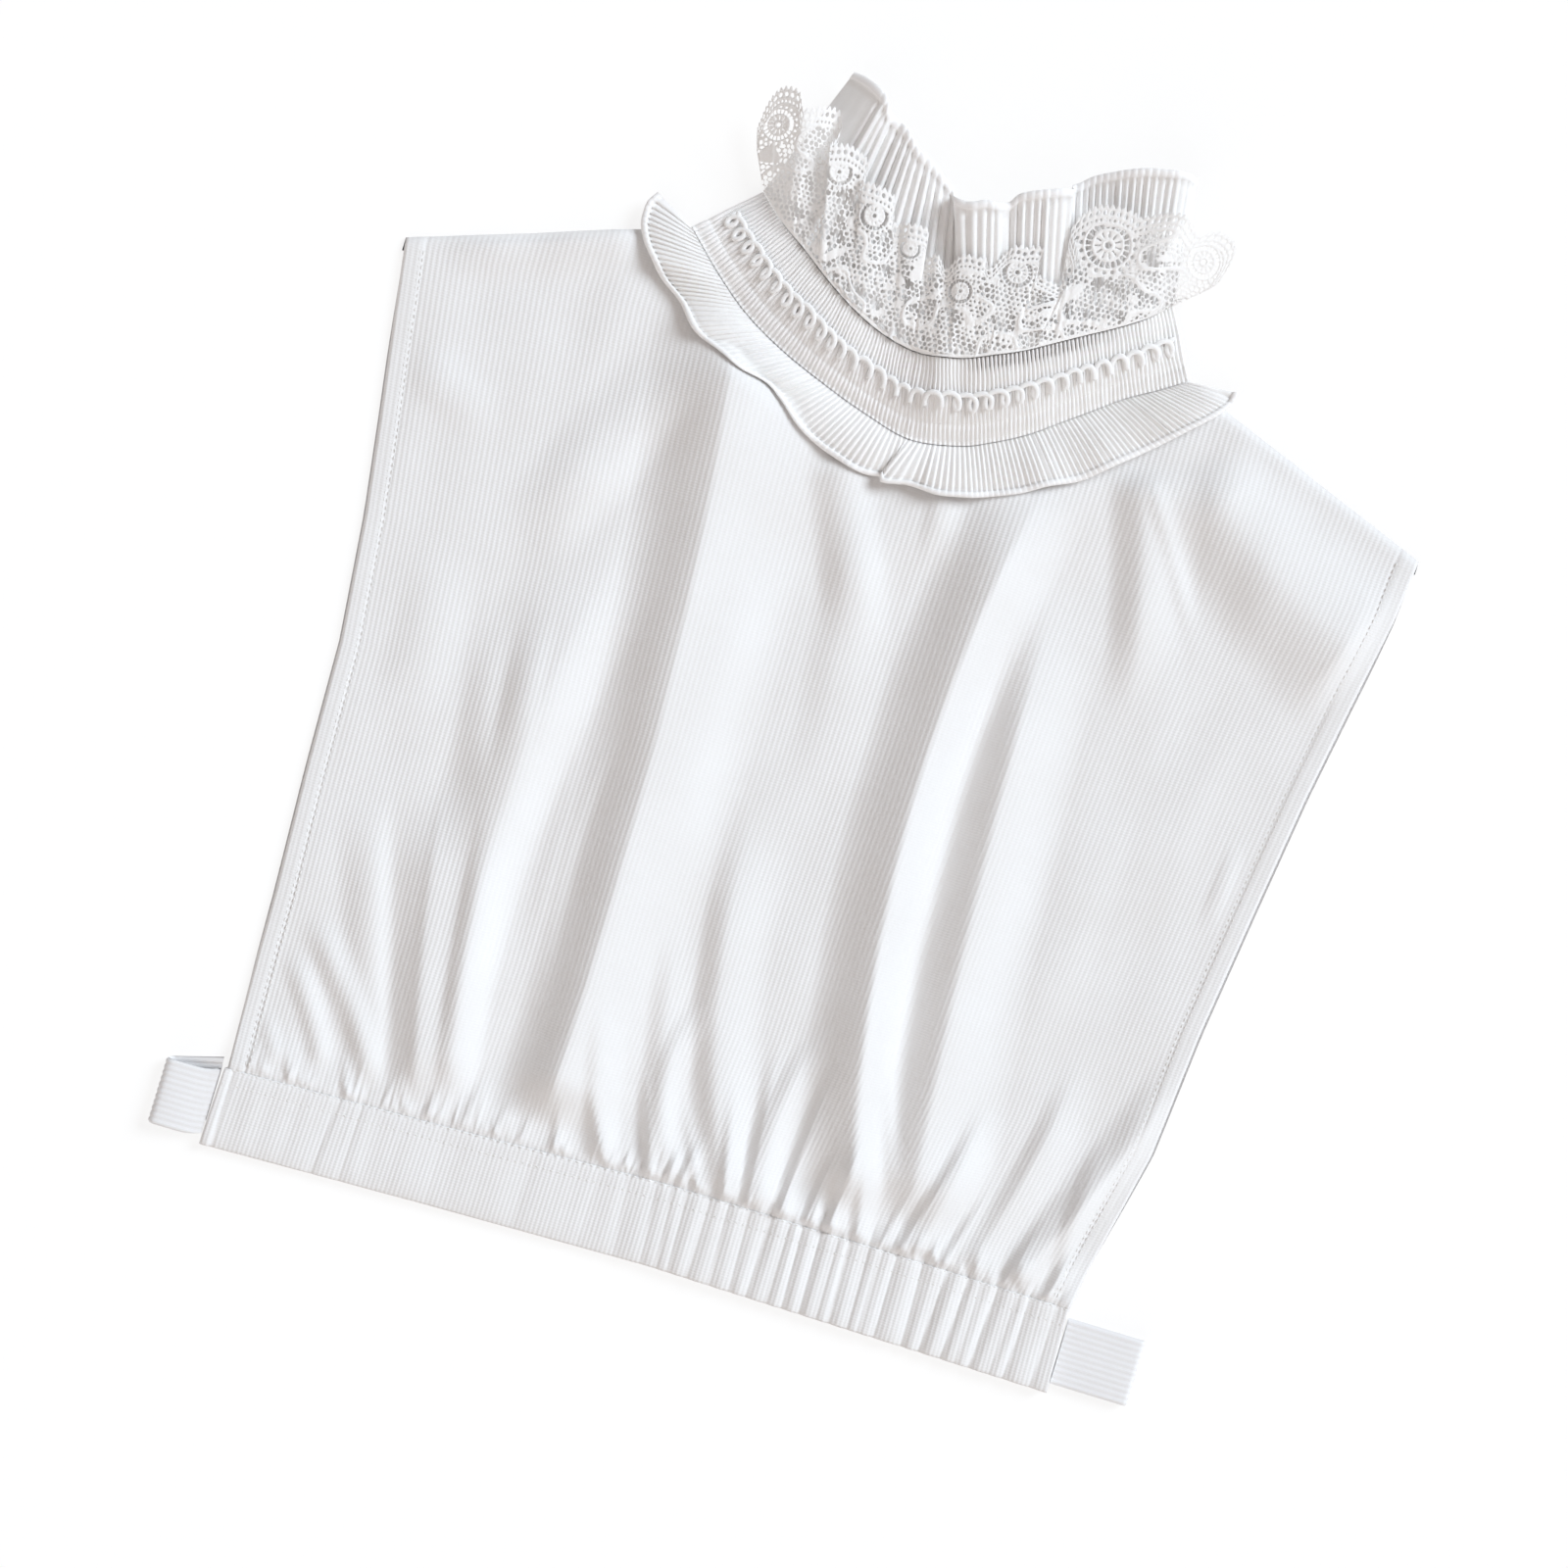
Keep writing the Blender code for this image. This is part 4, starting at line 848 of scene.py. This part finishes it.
def stand():
    """The pleated stand between neck seam and lace foot."""
    share, rise = pleat_columns(STRIP_PLEATS, 0.56, 1.3)
    s = even_share(share)
    t = np.array((0, 0.02, 0.04, 0.06, 0.09, 0.13, 0.17, 0.2, 0.22, 0.24, 0.26, 0.29, 0.33,
                  0.38, 0.43, 0.48, 0.54, 0.6, 0.66, 0.72, 0.78, 0.84, 0.9, 0.95, 1))
    ss, tt = np.meshgrid(s, t)
    sway = 0.0016 * np.sin(7 * tt + 60 * ss) * np.sin(math.pi * tt)
    points = strip_face(ss + sway, tt)
    points[..., 1] += (0.5 - tt) * GAP
    points[..., 2] += stand_relief(ss, tt, rise[None]) - 0.45
    return grid_piece("stand_cloth", points, PLEATED, "pleated_cloth", "stand_front")


def gather_threads():
    """Broken gathering threads across the pleats near the neck seam."""
    paths = []
    s = even_share((np.arange(STRIP_PLEATS) + 0.5) / STRIP_PLEATS)
    for t_at in GATHER_ROWS:
        t = np.full(s.shape, t_at)
        points = strip_face(s, t)
        points[:, 2] += stand_relief(s, t, np.ones(s.shape)) - 0.45
        paths += stitch_row(points, 1.05, -0.02, 0.12)
    return tubes("gather_threads", paths, 0.15, 4, THREAD, "pleated_cloth")


def ruffle_points(table, start, s, t, arch, hang):
    """A ruffle's smooth face: from its seam out to its free edge table."""
    edge = curve_at(table, s)
    points = between(start, edge, t)
    low, high = start[..., 2], edge[..., 2]
    points[..., 2] = low + t ** hang * (high - low) + arch * np.sin(math.pi * t)
    return points


def hem_rows(depth, count, band):
    """Shares from the seam to the edge, with the smooth hem's own rows, and the hem's share."""
    hem = band / depth
    plain = np.linspace(0, 1 - hem, count)
    return np.concatenate((plain, 1 - hem * np.array((0.88, 0.6, 0.3, 0.1, 0)))), hem


def ruffle_piece(name, node, points, relief, t, hem, first_hem_row):
    """A ruffle from its smooth face: pleats, a groove, and a rolled hem that is turned under."""
    seam = 1 - hem
    points[..., 2] += relief * (1 - 0.8 * smooth((t - seam) / (0.25 * hem) + 0.4))
    roll = HEM_ROLL * np.sin(math.pi * np.clip((t - seam) / hem, 0, 1)) ** 0.6
    points[..., 2] += np.where(t > seam, roll, 0)
    points[..., 2] -= HEM_GROOVE * bump(t, seam, 0.1 * hem)
    wrap, back = points[-1].copy(), points[-4].copy()
    wrap[:, 2] -= 0.55
    back[:, 2] -= 0.95
    points = np.concatenate((points, wrap[None], back[None]), axis=0)
    obj = grid_piece(name, points, PLEATED, "pleated_cloth", node)
    # The hem is doubled; its rows take a whiter cloth.
    obj.data.materials.append(HEMS)
    row = np.arange(len(obj.data.polygons)) // (points.shape[1] - 1)
    obj.data.polygons.foreach_set("material_index", (row >= first_hem_row).astype(np.int32))
    return obj


def lower_ruffle():
    """The ruffle that flares down over the panels from the neck seam."""
    share, rise = pleat_columns(STRIP_PLEATS, 0.72, 1.2)
    rows = 17
    t, hem = hem_rows(LOWER_DEPTH, rows, LOWER_HEM)
    ss, tt = np.meshgrid(even_share(share), t)
    seam = strip_face(ss, np.zeros(ss.shape))
    seam[..., 1] -= 0.5 * GAP
    points = ruffle_points(RUFFLE_EDGE, seam, ss, tt, 1.5, 1)
    points[..., 2] -= EDGE_DROOP * tt ** 1.5
    x, y = points[..., 0], points[..., 1]
    floor = front_height(x, y, np.full(x.shape, 200), np.full(x.shape, 60))
    points[..., 2] = np.maximum(points[..., 2], floor + GAP + 1.3)
    level = pleat_noise(ss, STRIP_PLEATS, 22, 0.12)
    relief = PLEAT_RISE * (0.75 + 0.45 * tt) * level * rise[None] - 0.5
    return ruffle_piece("lower_ruffle_cloth", "lower_ruffle_front", points, relief, tt, hem, rows)


def top_ruffle():
    """The ruffle above the lace foot, with its lobes."""
    share, rise = pleat_columns(TOP_PLEATS, 0.62, 1.1)
    rows = 19
    t, hem = hem_rows(TOP_DEPTH, rows, TOP_HEM)
    ss, tt = np.meshgrid(top_share(share), t)
    foot = strip_face(ss, np.ones(ss.shape))
    foot[..., 1] += 0.5 * GAP
    points = ruffle_points(TOP_EDGE, foot, ss, tt, 0, 1.3)
    level = pleat_noise(np.broadcast_to(share, ss.shape), TOP_PLEATS, 23, 0.2)
    left_flap = 1 - 0.94 * smooth((0.115 - ss) / 0.02)
    deep = 1.35 + 0.85 * smooth((0.5 - ss) / 0.04)
    relief = deep * level * rise[None] * left_flap - 0.6
    return ruffle_piece("top_ruffle_cloth", "top_ruffle_front", points, relief, tt, hem, rows)


# ================================================================ lace
def lace_net(x, y):
    """Six-sided bobbin net over places x, y, its holes uneven as hand-thrown net is."""
    pull_x = x + 0.34 * wander(x, y, 1.6, 1.6, 10, 61)
    pull_y = y + 0.34 * wander(x, y, 1.6, 1.6, 10, 62)
    row = np.round(pull_y / NET_ROW)
    step = (pull_x + NET_STEP * (row % 2)) % (2 * NET_STEP) - NET_STEP
    size = NET_HOLE * (1 + 0.24 * wander(x, y, 2.2, 2.2, 12, 63))
    return np.hypot(step, pull_y - NET_ROW * row) - size


def lace_pattern(a, b, x, y):
    """Positive on thread, negative in a gap, and how far its cords stand proud.

    a runs along the lace and b from the foot to the free edge; x, y is where it lies.
    """
    thread = lace_net(x, y)

    # Thick outlining cords that wander through the net, clothwork patches, the foot band.
    course = np.abs(wander(x, y, 5.5, 5.5, 14, 66))
    thread = np.maximum(thread, 0.42 - 3 * course)
    thread = np.maximum(thread, 0.8 * (wander(x, y, 2.6, 2.6, 14, 67) - 1.15))
    thread = np.maximum(thread, 1.4 - b)
    proud = 0.8 * bump(course, 0, 0.12)

    # Fans: an eye, petals parted by slots, a wheel of fine spokes and a ring of round holes,
    # at radii of 1.2, 2.6 to 5.2, 6.2 to 8.5 and 10.1 millimetres in a fan of size 1.
    petal, spoke, eye = math.pi / 11, math.pi / 22, math.pi / 20
    for fan_x, fan_y, size in FANS:
        r = np.hypot(x - fan_x, y - fan_y) / size
        phi = np.arctan2(y - fan_y, x - fan_x)
        slot = np.maximum(r * np.abs((phi + petal) % (2 * petal) - petal) - 0.3,
                          np.abs(r - 3.9) - 1.3)
        pane = np.maximum(0.3 - r * (spoke - np.abs(phi % (2 * spoke) - spoke)),
                          np.abs(r - 7.3) - 1.15)
        hole = np.hypot(r - 10.1, r * (phi % (2 * eye) - eye)) - 0.78
        fan = size * np.minimum(np.minimum(slot, pane), np.minimum(hole, r - 1.2))
        thread = np.where(r < FAN_RIM, np.minimum(fan, 1), thread)
        cords = bump(r, 1.9, 0.5) + bump(r, 5.7, 0.45) + bump(r, 8.9, 0.45)
        proud = np.where(r < FAN_RIM, cords, proud)

    # Scalloped border: clothwork with rows of round holes, and pointed picots.
    swell = np.abs(np.cos(math.pi * a / LACE_REPEAT)) ** 0.7
    line = LACE_DEPTH - 4 + 2.4 * swell
    border = b > line - 6
    thread = np.where(border, 0.9, thread)
    big = np.hypot((a + 1.35) % 2.7 - 1.35, b - (line - 1.9)) - 0.8
    fine = np.hypot(a % 1.8 - 0.9, b - (line - 4.3)) - 0.5
    thread = np.where(border, np.minimum(thread, np.minimum(big, fine)), thread)
    picot = 1.9 * np.abs((a / 2.25) % 1 - 0.5) * 2
    return np.minimum(thread, line + picot - 0.6 - b), np.where(border, 0.3, proud)


def lace_piece(name, length, surface, cell, node):
    """Lace cut from a grid: cells in the gaps are left out and its rims follow the thread."""
    columns, rows = int(length / cell) + 1, int(LACE_DEPTH / cell) + 1
    a, b = np.meshgrid(np.linspace(0, length, columns), np.linspace(0, LACE_DEPTH, rows))

    def pattern(a, b):
        """The pattern where the lace lies."""
        lies = surface(a / length, b / LACE_DEPTH)
        return lace_pattern(a, b, lies[..., 0], lies[..., 1])

    value, proud = pattern(a, b)
    faces = quads(rows, columns)
    keep = value.ravel()[faces].mean(1) > 0
    touched = np.zeros(a.size, int)
    np.add.at(touched, faces[keep].ravel(), 1)
    rim = ((touched < 4) & (touched > 0)).reshape(a.shape)
    near, reach = 0.2 * LACE_CELL, 0.42 * cell
    da = (pattern(a + near, b)[0] - pattern(a - near, b)[0]) / (2 * near)
    db = (pattern(a, b + near)[0] - pattern(a, b - near)[0]) / (2 * near)
    steep = np.maximum(da ** 2 + db ** 2, 0.3)

    def slide(slope):
        """Points on a rim between thread and gap move onto the pattern's own edge."""
        return np.where(rim, np.clip(-value * slope / steep, -reach, reach), 0)

    a, b = a + slide(da), np.clip(b + slide(db), 0, LACE_DEPTH + 1)
    points = surface(a / length, b / LACE_DEPTH)
    # Threads are round, and the cords stand proud of the net.
    points[..., 2] += 0.22 * proud + 0.22 * smooth(value / 0.5)
    return make_piece(name, points, faces[keep], LACE, "lace", node)


def bridge(values, reach, pick):
    """Largest or mean value among the neighbours up to `reach` columns away."""
    pad = np.pad(values, [(0, 0)] * (values.ndim - 1) + [(reach, reach)], mode="edge")
    width = values.shape[-1]
    return pick([pad[..., k:k + width] for k in range(2 * reach + 1)], axis=0)


def face_tree(obj):
    """A piece's faces, in millimetres, ready to be looked down on."""
    return BVHTree.FromPolygons([v.co / MM for v in obj.data.vertices],
                                [tuple(p.vertices) for p in obj.data.polygons])


def height_at(tree, x, y):
    """Height of a piece's highest face over a place of the table, or None beside the piece."""
    above = Vector((x - PLAN_CENTRE[0], y - PLAN_CENTRE[1], 90))
    hit = tree.ray_cast(above, Vector((0, 0, -1)))[0]
    return None if hit is None else hit.z


def drop_grid(objects, rows, columns, base):
    """Height of what lies under the lace, on a coarse grid of its own shares."""
    trees = [face_tree(obj) for obj in objects]
    s, t = np.meshgrid(np.linspace(0, 1, columns), np.linspace(0, 1, rows))
    flat = base(s, t)
    height = np.zeros(s.shape)
    for index in np.ndindex(s.shape):
        found = [height_at(tree, flat[index][0], flat[index][1]) for tree in trees]
        height[index] = max([0] + [z for z in found if z is not None])
    # The lace bridges from pleat to pleat: the crests count, and their line is evened out.
    crest = bridge(height, 4, np.max)
    return bridge(bridge(crest, 4, np.mean), 3, np.mean)


def bilinear(grid, s, t):
    """Values of a coarse grid at shares s and t."""
    rows, columns = grid.shape
    cx, cy = np.clip(s, 0, 1) * (columns - 1), np.clip(t, 0, 1) * (rows - 1)
    i, j = np.minimum(cx.astype(int), columns - 2), np.minimum(cy.astype(int), rows - 2)
    fx, fy = cx - i, cy - j
    return ((grid[j, i] * (1 - fx) + grid[j, i + 1] * fx) * (1 - fy)
            + (grid[j + 1, i] * (1 - fx) + grid[j + 1, i + 1] * fx) * fy)


def front_lace(below):
    """Gathered lace edging on the lace foot, standing up in flutes."""
    table_s = np.linspace(0, 1, 2400)
    run = np.linalg.norm(np.diff(curve_at(LACE_EDGE, table_s), axis=0), axis=1)
    run = np.concatenate(((0,), np.cumsum(run)))
    length = run[-1]

    def smooth_face(share, t):
        """The lace's own face: its shares are of the free edge's length."""
        s = np.interp(share, run / length, table_s)
        foot, edge = strip_face(s, np.ones(s.shape)), curve_at(LACE_EDGE, s)
        points = between(foot, edge, t)
        out = np.clip(t, 0, 1)
        rise = foot[..., 2] + 1 + (edge[..., 2] - foot[..., 2] - 1) * out ** 0.62
        # Gathers at the foot, fading out along the flutes.
        pucker = 0.35 * wander(share * length, 0 * t, 1.1, 1, 14, 51)
        points[..., 2] = rise + pucker * (1 - out) ** 1.5 * smooth(8 * out)
        return points

    floor = drop_grid(below, 28, 420, smooth_face)

    def surface(share, t):
        """The same face, kept clear of what lies under it."""
        points = smooth_face(share, t)
        stand_off = LACE_CLEAR * smooth(2.2 * t) * smooth(2.5 * (1 - t))
        points[..., 2] = np.maximum(points[..., 2], bilinear(floor, share, t) + 0.7 + stand_off)
        return points

    return lace_piece("lace_front_thread", length, surface, LACE_CELL, "lace_front")


# ================================================================ braid
def front_braid(below):
    """The looped cord along the middle of the stand."""
    tree = face_tree(below)
    k = np.linspace(0, 1, 22 * BRAID_LOOPS + 1)
    turn = 2 * math.pi * BRAID_LOOPS * k
    wobble = wander(k * 100, k * 0, 2.2, 1, 8, 31)
    open_loop = 1 + 0.3 * wander(k * 100, k * 0, 3, 1, 8, 33)
    turn = turn + 0.5 * wander(k * 100, k * 0, 2.6, 1, 8, 32)
    ahead = 0.01 * open_loop * np.sin(turn) + 0.0012 * np.sin(2 * turn)
    s = even_share(COLLAR_ENDS + (1 - 2 * COLLAR_ENDS) * k + ahead)
    across = 2.7 * (0.85 + 0.15 * open_loop) * np.cos(turn) + 0.35 * wobble
    seam, foot = rail((0, 1), s), rail((2, 3), s)
    depth = np.hypot(*(foot - seam).T)
    points = strip_face(s, 0.5 + across / depth)
    for point in points:
        cloth = height_at(tree, point[0], point[1])
        if cloth is not None:
            point[2] = max(point[2] - 0.9, cloth)
    points[:, 2] = bridge(bridge(points[:, 2], 3, np.max), 4, np.mean)
    points[:, 2] += 0.12 * BRAID_CORD + 0.8 * (0.5 + 0.5 * np.sin(turn + 0.8))
    return tubes("braid_front_cord", [points], 0.5 * BRAID_CORD, 10, BRAID, "braid",
                 "trim_front", flat=0.7)


# ================================================================ collar, back half
def back_ring(name, table, first, last, z, pleats, *finish, thickness=CLOTH, rise=0.4):
    """A flat pleated half ring on the table, a thin closed cloth."""
    s, relief = pleat_columns(pleats)
    s, relief = COLLAR_ENDS + (1 - 2 * COLLAR_ENDS) * s[::2], relief[::2]
    ss, tt = np.meshgrid(s, np.linspace(first, last, 6))
    if table is None:
        top = strip_face(ss, tt)
    else:
        start = strip_face(ss, np.full(ss.shape, 0 if table is RUFFLE_EDGE else 1))
        top = ruffle_points(table, start, ss, tt, 0, 1)
    under = top.copy()
    top[..., 2] = z + thickness - rise * (1 - relief[None])
    under[..., 2] = z + LOWEST
    return wall_piece(name, top, under, *finish)


# ================================================================ make it all
front = front_panel()
hems = hem_stitches()
casing = front_casing()
dashes = casing_stitches()
back = back_panel()
casing_back = back_casing()
elastic("elastic_left_band", -1, CASING_LEFT, LEFT_LOOP_REACH, 2.4, "elastic_left")
elastic("elastic_right_band", 1, CASING_RIGHT, RIGHT_LOOP_REACH, 0.4, "elastic_right")
stand_cloth = stand()
threads = gather_threads()
ruffle = lower_ruffle()
top = top_ruffle()
lace = front_lace([stand_cloth, top])
front_braid(stand_cloth)

ring_stand = back_ring("stand_back_cloth", None, 0.02, 0.985, BACK_RISE, 59,
                       PLEATED, "pleated_cloth", "stand_back")
ring_lower = back_ring("lower_ruffle_back_cloth", RUFFLE_EDGE, 0.02, 0.94, 0, 59,
                       PLEATED, "pleated_cloth", "lower_ruffle_back")
ring_top = back_ring("top_ruffle_back_cloth", TOP_EDGE, 0.01, 0.93, BACK_RISE, 48,
                     PLEATED, "pleated_cloth", "top_ruffle_back")
back_ring("braid_back_cord", None, 0.32, 0.46, BACK_RISE - GAP - 1, 30,
          BRAID, "braid", "trim_back", thickness=1, rise=0.5)


def back_lace_face(share, t):
    """The back half's lace, pressed flat under the ruffle."""
    foot, edge = strip_face(share, np.ones(share.shape)), curve_at(TOP_EDGE, share)
    points = between(foot, edge, 0.02 + 0.6 * t)
    points[..., 2] = 0.75
    return points


lace_back = lace_piece("lace_back_thread", 205, back_lace_face, 2 * LACE_CELL, "lace_back")

# ---------------------------------------------------------------- floor, light, camera
floor_mesh = bpy.data.meshes.new("floor")
FLOOR_REACH = 40
corners = [(x * FLOOR_REACH, y * FLOOR_REACH, 0) for x, y in ((-1, -1), (1, -1), (1, 1), (-1, 1))]
floor_mesh.from_pydata(corners, [], [(0, 1, 2, 3)])
floor = bpy.data.objects.new("floor", floor_mesh)
bpy.context.scene.collection.objects.link(floor)
pale = bpy.data.materials.new("pale_floor")
pale.use_nodes = True
set_sockets(pale.node_tree, pale.node_tree.nodes["Principled BSDF"], {
    "Base Color": (0.22, 0.22, 0.22, 1), "Roughness": 1, "Specular IOR Level": 0,
    "Emission Color": (1, 1, 1, 1), "Emission Strength": 0.8})
floor_mesh.materials.append(pale)

TURN = math.radians(16.9)          # the garment lies turned by this in the view
VIEW_MIDDLE = (-0.0041, -0.0343)   # the place under the camera, in metres
CAMERA_HEIGHT = 1.5
LENS = 92.8                        # millimetres, for a picture 36 millimetres wide


def in_view(right, up, height):
    """A place given as the camera sees it, in metres from the middle of the view."""
    return Vector((VIEW_MIDDLE[0] + right * math.cos(TURN) - up * math.sin(TURN),
                   VIEW_MIDDLE[1] + right * math.sin(TURN) + up * math.cos(TURN), height))


def window_light(name, at, spread, strength, colour):
    """A broad even light from one side, as from a large window."""
    light = bpy.data.lights.new(name, "SUN")
    light.angle = math.radians(spread)
    light.energy = strength
    light.color = colour
    obj = bpy.data.objects.new(name, light)
    obj.location = at
    obj.rotation_mode = "QUATERNION"
    obj.rotation_quaternion = (at - in_view(0, 0, 0)).to_track_quat("Z", "Y")
    bpy.context.scene.collection.objects.link(obj)


window_light("key", in_view(1.6, 0.7, 1.3), 30, 2.64, (0.83, 0.92, 1))
window_light("card", in_view(-0.7, -1.55, 1.2), 70, 1, (1, 0.955, 0.925))
world = bpy.data.worlds.new("soft_room")
world.use_nodes = True
set_sockets(world.node_tree, world.node_tree.nodes["Background"], {
    "Color": (1, 0.905, 0.86, 1), "Strength": 0.32})
bpy.context.scene.world = world

camera_data = bpy.data.cameras.new("camera")
camera_data.sensor_width = 36
camera_data.lens = LENS
camera_data.dof.use_dof = False
camera = bpy.data.objects.new("camera", camera_data)
camera.location = in_view(0, 0, CAMERA_HEIGHT)
camera.rotation_euler = (0, 0, TURN)
bpy.context.scene.collection.objects.link(camera)
bpy.context.scene.camera = camera

bpy.context.scene.view_settings.view_transform = "Standard"
bpy.context.scene.view_settings.look = "None"
